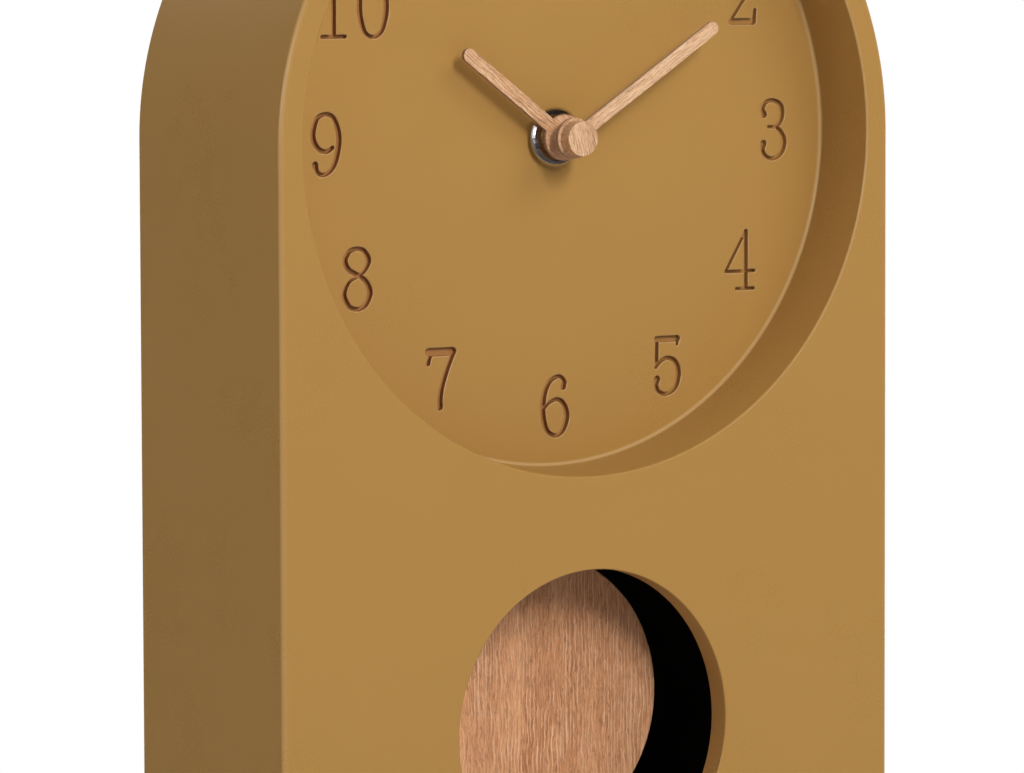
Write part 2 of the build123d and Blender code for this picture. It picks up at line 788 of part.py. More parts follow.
def bowed_contact(side):
    """Flat spring against a wall of the bay, bowed towards the battery. Side is -1 at the left."""
    bow = side * (contact_gap - contact_space)
    root = -side * contact_thickness / 2
    end = contact_height / 2
    inner_end = end - contact_thickness
    with BuildSketch(level_plane(side * chamber_half, battery_depth, bay_middle)) as strip:
        with Locations((root, 0)):
            Rectangle(contact_thickness, contact_height)
        with BuildLine():
            ThreePointArc((root, -end), (bow, 0), (root, end))
            Line((root, end), (root, inner_end))
            ThreePointArc((root, inner_end), (bow + side * contact_thickness, 0), (root, -inner_end))
            Line((root, -inner_end), (root, -end))
        make_face()
    extrude(strip.sketch, amount=contact_width / 2, both=True)


with BuildPart() as battery_contact_plus:
    bowed_contact(-1)
finish(battery_contact_plus, "battery_contact_plus")

with BuildPart() as battery_contact_minus:
    bowed_contact(1)
finish(battery_contact_minus, "battery_contact_minus")

# Pendulum: arm on a pin in the movement, magnet over the drive coil, rod hung on a peg, oak bob
with BuildPart() as pendulum_pin:
    bar(pivot_place, pin_radius, cavity_front - bearing_depth, arbor_back)
finish(pendulum_pin, "pendulum_pin")

with BuildPart() as pendulum_hanger:
    bar(pivot_place, eye_radius, eye_front, eye_back)
    with BuildSketch(front_plane(arm_front, pivot_place)) as arm:
        arm_length = -pivot_drop - arm_end
        with Locations((0, -(arm_length - arm_width / 2) / 2)):
            Rectangle(arm_width, arm_length - arm_width / 2)
        with Locations((0, arm_width / 2 - arm_length)):
            Circle(arm_width / 2)
        with Locations((0, -magnet_drop)):
            Circle(magnet_radius + magnet_ring)
            Circle(magnet_radius + press_gap, mode=Mode.SUBTRACT)
    extrude(arm.sketch, amount=-arm_thickness)
    bar(pivot_place, pin_radius + running_gap, eye_front, eye_back, mode=Mode.SUBTRACT)
    peg_end = rod_back + peg_clear + peg_lip_thickness
    bar(peg_place, peg_radius, arm_front + arm_thickness / 2, peg_end)
    block(
        -peg_radius,
        peg_radius,
        peg_place[1],
        peg_place[1] + peg_radius + peg_lip,
        peg_end - peg_lip_thickness,
        peg_end,
    )
finish(pendulum_hanger, "pendulum_hanger")

with BuildPart() as pendulum_magnet:
    bar(magnet_place, magnet_radius, arm_front, rod_front)
finish(pendulum_magnet, "pendulum_magnet")

with BuildPart() as drive_coil:
    bar(magnet_place, drive_coil_radius, drive_coil_front, lid_front)
    bar(magnet_place, drive_post_radius + press_gap, drive_coil_front, lid_front, mode=Mode.SUBTRACT)
finish(drive_coil, "drive_coil")

clip_low = -bob_drop - clip_height / 2
with BuildPart() as pendulum_rod:
    with BuildSketch(front_plane(rod_front)) as strip:
        with Locations(peg_place):
            Circle(rod_eye_radius)
        with Locations((0, (peg_place[1] + clip_low) / 2)):
            Rectangle(rod_width, peg_place[1] - clip_low)
        with Locations(peg_place):
            Circle(peg_radius + rod_fit, mode=Mode.SUBTRACT)
    extrude(strip.sketch, amount=-rod_thickness)
finish(pendulum_rod, "pendulum_rod")

with BuildPart() as pendulum_bob:
    bar(bob_place, bob_radius, bob_front, bob_front + bob_thickness)
    fillet(pendulum_bob.edges(), radius=bob_edge_round)
finish(pendulum_bob, "pendulum_bob")

with BuildPart() as bob_clip:
    clip_half = rod_width / 2 + rod_fit + clip_wall
    block(
        -clip_width / 2,
        clip_width / 2,
        clip_low,
        clip_low + clip_height,
        bob_front + bob_thickness,
        rod_front,
        corner=clip_wall,
    )
    bridge_low = -bob_drop - clip_bridge / 2
    bridge_high = bridge_low + clip_bridge
    bridge_back = rod_back + rod_fit + clip_wall
    block(-clip_half, clip_half, bridge_low, bridge_high, rod_front - clip_base / 2, bridge_back)
    slot = rod_width / 2 + rod_fit
    block(-slot, slot, bridge_low, bridge_high, rod_front, rod_back + rod_fit, mode=Mode.SUBTRACT)
finish(bob_clip, "bob_clip")
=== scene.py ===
import bpy
import bmesh
from math import acos, asin, atan2, cos, hypot, pi, radians, sin, sqrt, tan
from mathutils import Matrix, Vector


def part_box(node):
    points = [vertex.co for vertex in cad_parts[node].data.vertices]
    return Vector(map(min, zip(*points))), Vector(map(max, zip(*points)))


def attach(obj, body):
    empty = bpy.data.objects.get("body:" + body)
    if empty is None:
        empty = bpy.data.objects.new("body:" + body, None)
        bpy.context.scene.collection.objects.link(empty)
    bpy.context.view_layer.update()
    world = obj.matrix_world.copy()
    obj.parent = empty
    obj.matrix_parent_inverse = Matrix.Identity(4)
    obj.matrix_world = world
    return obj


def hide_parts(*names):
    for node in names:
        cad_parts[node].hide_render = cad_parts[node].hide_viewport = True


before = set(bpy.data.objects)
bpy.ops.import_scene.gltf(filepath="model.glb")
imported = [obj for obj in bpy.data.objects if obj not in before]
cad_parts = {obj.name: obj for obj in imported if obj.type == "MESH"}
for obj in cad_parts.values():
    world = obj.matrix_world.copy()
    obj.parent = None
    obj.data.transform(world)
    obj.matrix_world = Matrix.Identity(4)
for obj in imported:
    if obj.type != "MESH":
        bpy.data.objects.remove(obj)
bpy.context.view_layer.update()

# sizes in mm: depth runs back from the front face, x and z from the hub of the hands
clock = {"width": 145.0, "depth": 55.0, "hubHeight": 172.5, "footStand": 0.8}
past = 1.0  # how far a drill reaches beyond a face


def spot(x, depth, z):
    return Vector((x, depth - clock["depth"] / 2, clock["hubHeight"] + z)) / 1000


def ringAt(points, depth):
    return [spot(x, depth, z) for x, z in points]


def sweep(start, angle, steps):  # angles over a turn, both ends included
    return [start + angle * i / steps for i in range(steps + 1)]


def fullTurn(steps):
    return sweep(0, 2 * pi, steps)[:-1]


def arc(radius, angles, x=0, z=0):
    return [(x + radius * cos(a), z + radius * sin(a)) for a in angles]


def turned(points, angle):
    c, s = cos(angle), sin(angle)
    return [(x * c - z * s, x * s + z * c) for x, z in points]


def addObject(name, data):
    obj = bpy.data.objects.new(name, data)
    bpy.context.scene.collection.objects.link(obj)
    return obj


def reshape(mesh, change):
    form = bmesh.new()
    form.from_mesh(mesh)
    change(form)
    form.to_mesh(mesh)
    form.free()
    return mesh


def meshFrom(name, verts, faces):
    mesh = bpy.data.meshes.new(name)
    mesh.from_pydata(verts, [], faces)
    return reshape(mesh, lambda form: bmesh.ops.recalc_face_normals(form, faces=form.faces))


def loft(name, rings):  # closed rings with equal counts, capped at both ends
    count = len(rings[0])
    verts = [p for ring in rings for p in ring]
    faces = [tuple(range(count))[::-1], tuple(range(len(verts) - count, len(verts)))]
    for k in range(len(rings) - 1):
        for i in range(count):
            j = (i + 1) % count
            faces.append((k * count + i, k * count + j, (k + 1) * count + j, (k + 1) * count + i))
    return addObject(name, meshFrom(name, verts, faces))


def lathe(name, profile, at=(0, 0), steps=96):  # profile of (radius, depth) from front to back
    return loft(name, [ringAt(arc(radius, fullTurn(steps), *at), depth) for radius, depth in profile])


def assign(target, **settings):
    for key, value in settings.items():
        setattr(target, key, value)
    return target


def settle(obj):  # modifiers into the mesh
    mesh = bpy.data.meshes.new_from_object(obj.evaluated_get(bpy.context.evaluated_depsgraph_get()))
    old = obj.data
    obj.modifiers.clear()
    obj.data = mesh
    bpy.data.meshes.remove(old)
    return obj


def modify(obj, kind, **settings):
    assign(obj.modifiers.new(kind.lower(), kind), **settings)
    return settle(obj)


def carve(obj, tool, how="DIFFERENCE"):
    modify(obj, "BOOLEAN", operation=how, solver="EXACT", object=tool)
    bpy.data.objects.remove(tool)
    return obj


def drill(obj, radius, start, end, at=(0, 0), steps=40):
    return carve(obj, lathe("drill", [(radius, start), (radius, end)], at, steps))


def soften(obj, angle=32):  # smooth curves, crisp edges, flat faces kept flat
    obj.data.shade_smooth()
    obj.data.set_sharp_from_angle(angle=radians(angle))
    return modify(obj, "WEIGHTED_NORMAL", keep_sharp=True, weight=80)


def roundSteps(radius, steps=8):  # quarter round as (inset, drop) from a flat face to a wall
    return [(radius * (1 - sin(t)), radius * (1 - cos(t))) for t in sweep(0, pi / 2, steps)]


def slab(front, back, edge, steps):  # (inset, depth) of a plate with both edges rounded
    ease = roundSteps(edge, steps)
    return [(i, front + d) for i, d in ease] + [(i, back - d) for i, d in ease[::-1]]


def markFaces(obj, name, rule):  # a number on each face, for the finishes
    mark = obj.data.attributes.new(name, "FLOAT", "FACE")
    mark.data.foreach_set("value", [rule(p) for p in obj.data.polygons])


def paint(mesh, material):
    mesh.materials.clear()
    mesh.materials.append(material)


def finishPiece(obj, body, slotName, material, *nodes):
    if material:
        paint(obj.data, material)
    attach(obj, body)
    if nodes:
        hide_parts(*nodes)
    return obj


# node helpers
def feed(tree, node, inputs):
    for key, value in inputs.items():
        if isinstance(value, bpy.types.NodeSocket):
            tree.links.new(value, node.inputs[key])
        else:
            node.inputs[key].default_value = value
    return node


def put(tree, kind, inputs=None, **settings):
    return feed(tree, assign(tree.nodes.new(kind), **settings), inputs or {})


def flow(tree, kind, inputs=None, result=0, **settings):
    return put(tree, kind, inputs, **settings).outputs[result]


def calc(tree, how, a, b=0.0, c=0.0, clamp=False):
    return flow(tree, "ShaderNodeMath", {0: a, 1: b, 2: c}, operation=how, use_clamp=clamp)


def times(tree, a, b):
    return calc(tree, "MULTIPLY", a, b)


def combine(tree, how, a, b):
    return flow(tree, "ShaderNodeVectorMath", {0: a, 1: b}, operation=how)


def scaled(tree, vector, factor):
    return flow(tree, "ShaderNodeVectorMath", {0: vector, "Scale": factor}, operation="SCALE")


def stretch(tree, vector, across, along):
    return combine(tree, "MULTIPLY", vector, (across, across, along))


def blendColor(tree, factor, a, b, how="MIX"):
    node = put(tree, "ShaderNodeMix", {0: factor, 6: a, 7: b}, data_type="RGBA", blend_type=how)
    return node.outputs[2]


def noise(tree, vector, scale, detail=2.0, rough=0.5, result="Fac"):
    settings = {"Vector": vector, "Scale": scale, "Detail": detail, "Roughness": rough}
    return flow(tree, "ShaderNodeTexNoise", settings, result=result)


def between(tree, value, low, high, toLow=0.0, toHigh=1.0):
    return flow(tree, "ShaderNodeMapRange", {0: value, 1: low, 2: high, 3: toLow, 4: toHigh})


def faceMark(tree, name):
    return flow(tree, "ShaderNodeAttribute", attribute_name=name, result="Fac")


socketKinds = {"v": "Vector", "c": "Color", "f": "Float", "g": "Geometry", "o": "Object", "i": "Int", "m": "Material"}


def startTree(name, kind, inputs, outputs):
    tree = bpy.data.node_groups.new(name, kind)
    for way, labels in (("INPUT", inputs), ("OUTPUT", outputs)):
        for label, letter in labels.items():
            tree.interface.new_socket(name=label, in_out=way, socket_type="NodeSocket" + socketKinds[letter])
    return tree, tree.nodes.new("NodeGroupInput").outputs, tree.nodes.new("NodeGroupOutput").inputs


def startGroup(name, inputs):
    outputs = {"Color": "c", "Roughness": "f", "Height": "f"}
    return startTree(name, "ShaderNodeTree", {"Vector": "v", **inputs}, outputs)


def closeGroup(tree, out, color, rough, height):
    for label, value in (("Color", color), ("Roughness", rough), ("Height", height)):
        tree.links.new(value, out[label])


def mouldGroup():  # moulded plastic and rubber: fine spark texture, faint cloudiness
    tree, a, out = startGroup("mouldGrain", {"Color": "c", "Grain": "f", "Drift": "f", "Sheen": "f"})
    speck = noise(tree, a["Vector"], a["Grain"], 3.0, 0.6)
    cloud = noise(tree, a["Vector"], 0.035)
    level = calc(tree, "ADD", times(tree, speck, 0.35), times(tree, cloud, 0.65))
    swing = calc(tree, "SUBTRACT", level, 0.5)
    shade = calc(tree, "MULTIPLY_ADD", swing, a["Drift"], 1.0)
    grey = flow(tree, "ShaderNodeCombineXYZ", {0: shade, 1: shade, 2: shade})
    rough = calc(tree, "MULTIPLY_ADD", swing, 0.25, a["Sheen"], True)
    closeGroup(tree, out, blendColor(tree, 1.0, a["Color"], grey, "MULTIPLY"), rough, speck)


oakGrain = {"waves": ((0.22, 0.1, 3.0, 2.0), (1.1, 0.8, 2.0, 0.34)),  # across, along, detail, sway
            "bands": (0.13, 0.012, 3.0, 0.5), "fibres": (2.4, 0.16, 4.0, 0.8), "pores": (3.2, 0.36, 3.0, 0.6),
            "drift": (0.45, 0.03, 2.0, 0.5), "breaks": (1.1, 0.12, 2.0, 0.5), "patches": (0.1, 0.045, 2.0, 0.5),
            "lines": 0.98, "lineShift": 0.36, "lineDrift": 1.8, "poreShare": 0.68, "ridgeTone": (0.93, 0.65, 0.44, 1)}


def oakGroup():  # grain along the vector's z: bands, wavy fibres, short dark pores, pale ridges
    tree, a, out = startGroup("oakFigure", {"Light": "c", "Dark": "c", "Pore": "c", "Fineness": "f"})
    fine = wavy = scaled(tree, a["Vector"], a["Fineness"])
    for across, along, detail, sway in oakGrain["waves"]:
        wander = noise(tree, stretch(tree, fine, across, along), 1.0, detail, result="Color")
        offset = combine(tree, "SUBTRACT", wander, (0.5, 0.5, 0.5))
        wavy = combine(tree, "ADD", wavy, stretch(tree, offset, sway, 0.0))

    def figure(name, vector=wavy):
        across, along, detail, rough = oakGrain[name]
        return noise(tree, stretch(tree, vector, across, along), 1.0, detail, rough)

    bands, fibres, breaks, patches = figure("bands"), figure("fibres"), figure("breaks"), figure("patches", fine)
    bandTone, fibreTone = between(tree, bands, 0.35, 0.68, 0.0, 0.45), between(tree, fibres, 0.38, 0.62, 0.0, 0.75)
    tone = calc(tree, "ADD", bandTone, fibreTone, 0.0, True)
    wood = blendColor(tree, tone, a["Light"], a["Dark"])
    lines = times(tree, flow(tree, "ShaderNodeSeparateXYZ", {0: wavy}), oakGrain["lines"])
    drift = calc(tree, "SUBTRACT", figure("drift"), 0.5)
    phase = calc(tree, "MULTIPLY_ADD", drift, oakGrain["lineDrift"], lines)
    # dark lines and pores
    pores = between(tree, figure("pores"), 0.52, 0.64)
    pores = times(tree, pores, between(tree, bands, 0.3, 0.6, 0.5, 1.0))
    shifted = calc(tree, "ADD", phase, oakGrain["lineShift"])
    hollows = between(tree, calc(tree, "PINGPONG", shifted, 0.5), 0.3, 0.48)
    hollows = times(tree, hollows, between(tree, patches, 0.38, 0.55, 0.35, 1.0))
    hollows = times(tree, hollows, between(tree, breaks, 0.56, 0.42, 0.0, 0.7))
    pores = calc(tree, "MAXIMUM", pores, hollows)
    wood = blendColor(tree, times(tree, pores, oakGrain["poreShare"]), wood, a["Pore"])
    # pale lines standing up between the pores
    ridge = between(tree, calc(tree, "PINGPONG", phase, 0.5), 0.37, 0.44)
    ridge = times(tree, ridge, between(tree, breaks, 0.4, 0.52, 0.1, 1.0))
    ridge = times(tree, ridge, between(tree, patches, 0.38, 0.58, 0.15, 0.7))
    wood = blendColor(tree, ridge, wood, oakGrain["ridgeTone"])
    raised = calc(tree, "MULTIPLY_ADD", fibres, 0.5, times(tree, ridge, 0.4))
    rough = calc(tree, "MULTIPLY_ADD", tone, 0.14, 0.5)
    closeGroup(tree, out, wood, rough, calc(tree, "SUBTRACT", raised, pores))


def metalGroup():  # turned or rolled metal: fine marks drawn out along z, faint tarnish
    tree, a, out = startGroup("metalMarks", {"Color": "c", "Tarnish": "c", "Marks": "f", "Polish": "f"})
    lines = noise(tree, stretch(tree, a["Vector"], 6.0, 0.4), a["Marks"], 3.0, 0.6)
    spots = between(tree, noise(tree, a["Vector"], 0.5, 3.0, 0.55), 0.45, 0.75)
    rough = calc(tree, "MULTIPLY_ADD", calc(tree, "ADD", lines, spots), 0.09, a["Polish"], True)
    closeGroup(tree, out, blendColor(tree, times(tree, spots, 0.5), a["Color"], a["Tarnish"]), rough, lines)


mouldGroup()
oakGroup()
metalGroup()


def startMaterial(name):
    material = bpy.data.materials.new(name)
    material.use_nodes = True
    return material, material.node_tree, material.node_tree.nodes["Principled BSDF"]


def objectSpot(tree):
    return flow(tree, "ShaderNodeTexCoord", result="Object")


def grainSpot(tree, turn=(0, 0, 0), centre=(0, 0, 0)):  # in mm
    settings = {"Vector": objectSpot(tree), "Location": centre, "Rotation": turn, "Scale": (1000, 1000, 1000)}
    return flow(tree, "ShaderNodeMapping", settings)


def useGroup(tree, shader, groupName, values, bump, reach):
    node = put(tree, "ShaderNodeGroup", values, node_tree=bpy.data.node_groups[groupName])
    relief = put(tree, "ShaderNodeBump", {"Strength": bump, "Distance": reach, "Height": node.outputs["Height"]})
    color, rough = node.outputs["Color"], node.outputs["Roughness"]
    feed(tree, shader, {"Base Color": color, "Roughness": rough, "Normal": relief.outputs[0]})
    return node


def plastic(name, color, grain=2.2, drift=0.08, sheen=0.55, bump=0.12, specular=0.4):
    material, tree, shader = startMaterial(name)
    values = {"Vector": grainSpot(tree), "Color": (*color, 1), "Grain": grain, "Drift": drift, "Sheen": sheen}
    useGroup(tree, shader, "mouldGrain", values, bump, 0.0001)
    feed(tree, shader, {"Specular IOR Level": specular})
    return material


def metal(name, color, tarnish, marks=1.0, polish=0.2, bump=0.05):
    material, tree, shader = startMaterial(name)
    values = {"Color": (*color, 1), "Tarnish": (*tarnish, 1), "Marks": marks, "Polish": polish}
    useGroup(tree, shader, "metalMarks", {"Vector": grainSpot(tree), **values}, bump, 0.00005)
    feed(tree, shader, {"Metallic": 1.0})
    return material


bobTones = {"Light": (0.86, 0.45, 0.23, 1), "Dark": (0.54, 0.235, 0.104, 1), "Pore": (0.27, 0.10, 0.045, 1)}
handTones = {"Light": (0.86, 0.57, 0.335, 1), "Dark": (0.52, 0.275, 0.14, 1), "Pore": (0.24, 0.095, 0.045, 1)}
# the hour hand's oak is a darker copy of the minute hand's: painted shade
hourShadedTones = {"Light": (0.84, 0.515, 0.285, 1), "Dark": (0.48, 0.235, 0.112, 1), "Pore": (0.20, 0.075, 0.034, 1)}
cutTone = {"color": (0.34, 0.22, 0.15, 1), "share": 0.7}


def oak(name, lean, fineness, centre, edge=True, tones=handTones):  # lean: degrees clockwise of the grain from upright
    material, tree, shader = startMaterial(name)
    values = {"Vector": grainSpot(tree, (0, radians(-lean), 0), centre), **tones, "Fineness": fineness}
    wood = useGroup(tree, shader, "oakFigure", values, 0.4, 0.0002).outputs["Color"]
    if edge:  # cut edges are darker and greyer than the faces
        wood = blendColor(tree, times(tree, faceMark(tree, "cutEdge"), cutTone["share"]), wood, cutTone["color"])
    feed(tree, shader, {"Base Color": wood, "Specular IOR Level": 0.3})
    return material


# Painted highlight: the paler tone on the dial's foot, the outer front edge, the recess's right rim and the numerals'
# lips. Painted shade: the redder tone at the groove bottoms and the dark tone along the groove walls.
caseTones = {"paintedHighlight": (0.62, 0.42, 0.21, 1), "bottom": (0.40, 0.125, 0.06, 1), "wall": (0.13, 0.03, 0.004, 1),
             "paintedHighlightShare": 0.46, "bottomShadeShare": 0.4, "wallShadeShare": 0.5,
             "fade": (-0.01, 0.045, 1.0, 0.35)}  # grooves are paler at the right, where the light looks into them


def caseFinish():  # painted highlight along the edges; painted shade in the grooves, redder at the bottom and dark along their walls
    material = plastic("ochrePlastic", (0.42, 0.228, 0.062), grain=2.4, drift=0.07, sheen=0.3, bump=0.06, specular=0.32)
    tree = material.node_tree
    color = tree.nodes["Principled BSDF"].inputs["Base Color"]
    mark = faceMark(tree, "engraved")
    aside = flow(tree, "ShaderNodeSeparateXYZ", {0: objectSpot(tree)})
    fade = between(tree, aside, *caseTones["fade"])
    # painted shade at the groove bottoms and walls, weaker towards the right, and the painted highlight on the edges
    shares = {"paintedHighlight": times(tree, faceMark(tree, "paintedHighlight"), caseTones["paintedHighlightShare"]),
              "bottom": times(tree, between(tree, mark, 0.0, 0.5, 0.0, caseTones["bottomShadeShare"]), fade),
              "wall": times(tree, between(tree, mark, 0.5, 1.0, 0.0, caseTones["wallShadeShare"]), fade)}
    tone = color.links[0].from_socket
    for label, share in shares.items():
        tone = blendColor(tree, share, tone, caseTones[label])
    tree.links.new(tone, color)
    return material


casePlastic = caseFinish()
coverPlastic = plastic("blackCoverPlastic", (0.012, 0.012, 0.013), grain=1.4, drift=0.5, bump=0.35)
movementPlastic = plastic("movementPlastic", (0.018, 0.018, 0.02), grain=3.0, drift=0.4, sheen=0.42, specular=0.5)
wheelPlastic = plastic("wheelAcetal", (0.70, 0.68, 0.60), grain=4.0, sheen=0.38, bump=0.06, specular=0.5)
rubber = plastic("footRubber", (0.02, 0.02, 0.02), grain=1.1, drift=0.6, sheen=0.8, bump=0.5, specular=0.3)
boardResin = plastic("boardResin", (0.02, 0.11, 0.045), grain=5.0, drift=0.25, sheen=0.4, bump=0.1, specular=0.5)
chrome = metal("polishedChrome", (0.66, 0.66, 0.67), (0.50, 0.50, 0.52), marks=0.6, polish=0.05, bump=0.015)
brass = metal("turnedBrass", (0.72, 0.50, 0.20), (0.50, 0.32, 0.12), polish=0.22, bump=0.08)
steel = metal("brightSteel", (0.52, 0.52, 0.53), (0.36, 0.36, 0.37), marks=1.2, polish=0.24, bump=0.08)
copper = metal("copperWire", (0.62, 0.25, 0.10), (0.36, 0.12, 0.05), polish=0.3, bump=0.2)
bobOak = oak("bobOak", lean=0, fineness=1.15, centre=(13, 7, 0), tones=bobTones)
print("finishes ready")

# case: arched shell, open at the back
shell = {"frontRound": 1.15, "cornerRound": 3.0, "wall": 2.5, "ledge": 1.3, "coverSeat": 52.0, "dialBack": 17.5,
         "backEdge": 0.25, "archSteps": 180, "archLap": 1.5, "rooted": 1.25, "dialRadius": 67.2, "dialDepth": 15.0,
         "draft": 3.5, "rimRound": 0.5, "floorRound": 0.75, "windowDrop": 118.0, "windowRadius": 32.0,
         "windowRound": 0.3, "collarWall": 2.5, "collarDepth": 5.0, "bushingHole": 4.15,
         "pocketLap": 0.5, "proud": 0.04, "windowFlare": 0.2, "windowEnd": 8.0, "dialFlare": 0.25,
         "floorRings": (62.0, 57.0, 50.0, 44.0, 20.0)}  # many small faces, so the numerals cut cleanly
boss = {"inset": 6.0, "radius": 3.6, "back": 51.99, "pilot": 1.42, "pilotEnd": 40.0, "lean": 40, "middleDrop": 40.0}
foot = {"radius": 5.0, "high": 1.6, "round": 0.35, "rings": (1.2, 2.4, 3.6), "ringDeep": 0.15, "x": 59.5, "y": 14.5,
        "clear": 0.15, "centre": 0.4, "ringTop": 0.3, "ringFoot": 0.18}
caseBase = clock["footStand"] - clock["hubHeight"]


def bossSpots():  # two in the arch, two half way down and two at the base
    reach, arm = clock["width"] / 2 - boss["inset"], radians(boss["lean"])
    ends = [(reach * sin(arm), reach * cos(arm))]
    ends += [(reach, z) for z in (-boss["middleDrop"], caseBase + boss["inset"])]
    return [(side * x, z) for side in (-1, 1) for x, z in ends]


def footSpots():
    return [Vector((x * foot["x"], y * foot["y"], 0)) / 1000 for x in (-1, 1) for y in (-1, 1)]


def archRing(inset, depth, corner):
    half = clock["width"] / 2 - inset
    points = []
    for side, start in ((-1, 180), (1, 270)):
        angles = [radians(a) for a in sweep(start, 90, 12)]
        points += arc(corner, angles, side * (half - corner), caseBase + inset + corner)
    points += arc(half, sweep(0, pi, shell["archSteps"]))
    return ringAt(points, depth)


def makeShell():
    corner, wall, back, edge = shell["cornerRound"], shell["wall"], clock["depth"], shell["backEdge"]
    rings = [archRing(inset, drop, corner - inset) for inset, drop in roundSteps(shell["frontRound"], 10)]
    for inset, depth in ((0, back - edge), (edge, back), (shell["ledge"], back), (shell["ledge"], shell["coverSeat"]),
                         (wall, shell["coverSeat"]), (wall, shell["dialBack"])):
        rings.append(archRing(inset, depth, corner))
    body = loft("caseShell", rings)
    # hollow below the dial
    inner, cup = clock["width"] / 2 - wall, shell["dialRadius"] + wall
    top = -sqrt(inner ** 2 - (inner - shell["archLap"]) ** 2)
    base = caseBase + wall
    start = asin(top / cup)
    outline = [(-inner, top), (-inner, base), (inner, base), (inner, top)]
    outline += arc(cup, sweep(start, -(pi + 2 * start), 90))
    carve(body, loft("pocket", [ringAt(outline, d) for d in (wall, shell["dialBack"] + shell["pocketLap"])]))
    # screw bosses and window collar
    for at in bossSpots():
        carve(body, lathe("boss", [(boss["radius"], shell["rooted"]), (boss["radius"], boss["back"])], at, 32), "UNION")
        drill(body, boss["pilot"], boss["pilotEnd"], shell["coverSeat"] + past, at, 24)
    window, radius = (0, -shell["windowDrop"]), shell["windowRadius"]
    outer = radius + shell["collarWall"]
    carve(body, lathe("collar", [(outer, shell["rooted"]), (outer, shell["collarDepth"])], window, 128), "UNION")
    rim = [(radius + i, d) for i, d in roundSteps(shell["windowRound"], 6)[1:]]
    mouth = (rim[0][0] + shell["windowFlare"], -shell["proud"])
    carve(body, lathe("window", [mouth, *rim, (radius, shell["windowEnd"])], window, 160))
    # dial recess with draft, rim and floor rounds
    radius, deep, bend = shell["dialRadius"], shell["dialDepth"], shell["floorRound"]
    rim = [(radius + i, d) for i, d in roundSteps(shell["rimRound"], 7)[1:]]
    floor = radius - deep * tan(radians(shell["draft"]))
    cove = arc(bend, sweep(0, pi / 2, 7), floor - bend, deep - bend)
    flat = [(r, deep) for r in shell["floorRings"]]
    mouth = (rim[0][0] + shell["dialFlare"], -shell["proud"])
    carve(body, lathe("dialTool", [mouth, *rim, *cove, *flat], steps=224))
    drill(body, shell["bushingHole"], deep - past, shell["dialBack"] + past, steps=48)
    # sockets of the feet
    size, high = (foot["radius"] + foot["clear"]) / 1000, foot["high"] / 1000
    for place in footSpots():
        centre = Matrix.Translation(place + Vector((0, 0, high / 2)))
        cone = {"cap_ends": True, "segments": 40, "radius1": size, "radius2": size, "depth": high, "matrix": centre}
        pad = reshape(bpy.data.meshes.new("padTool"), lambda form: bmesh.ops.create_cone(form, **cone))
        carve(body, addObject("padTool", pad))
    return body


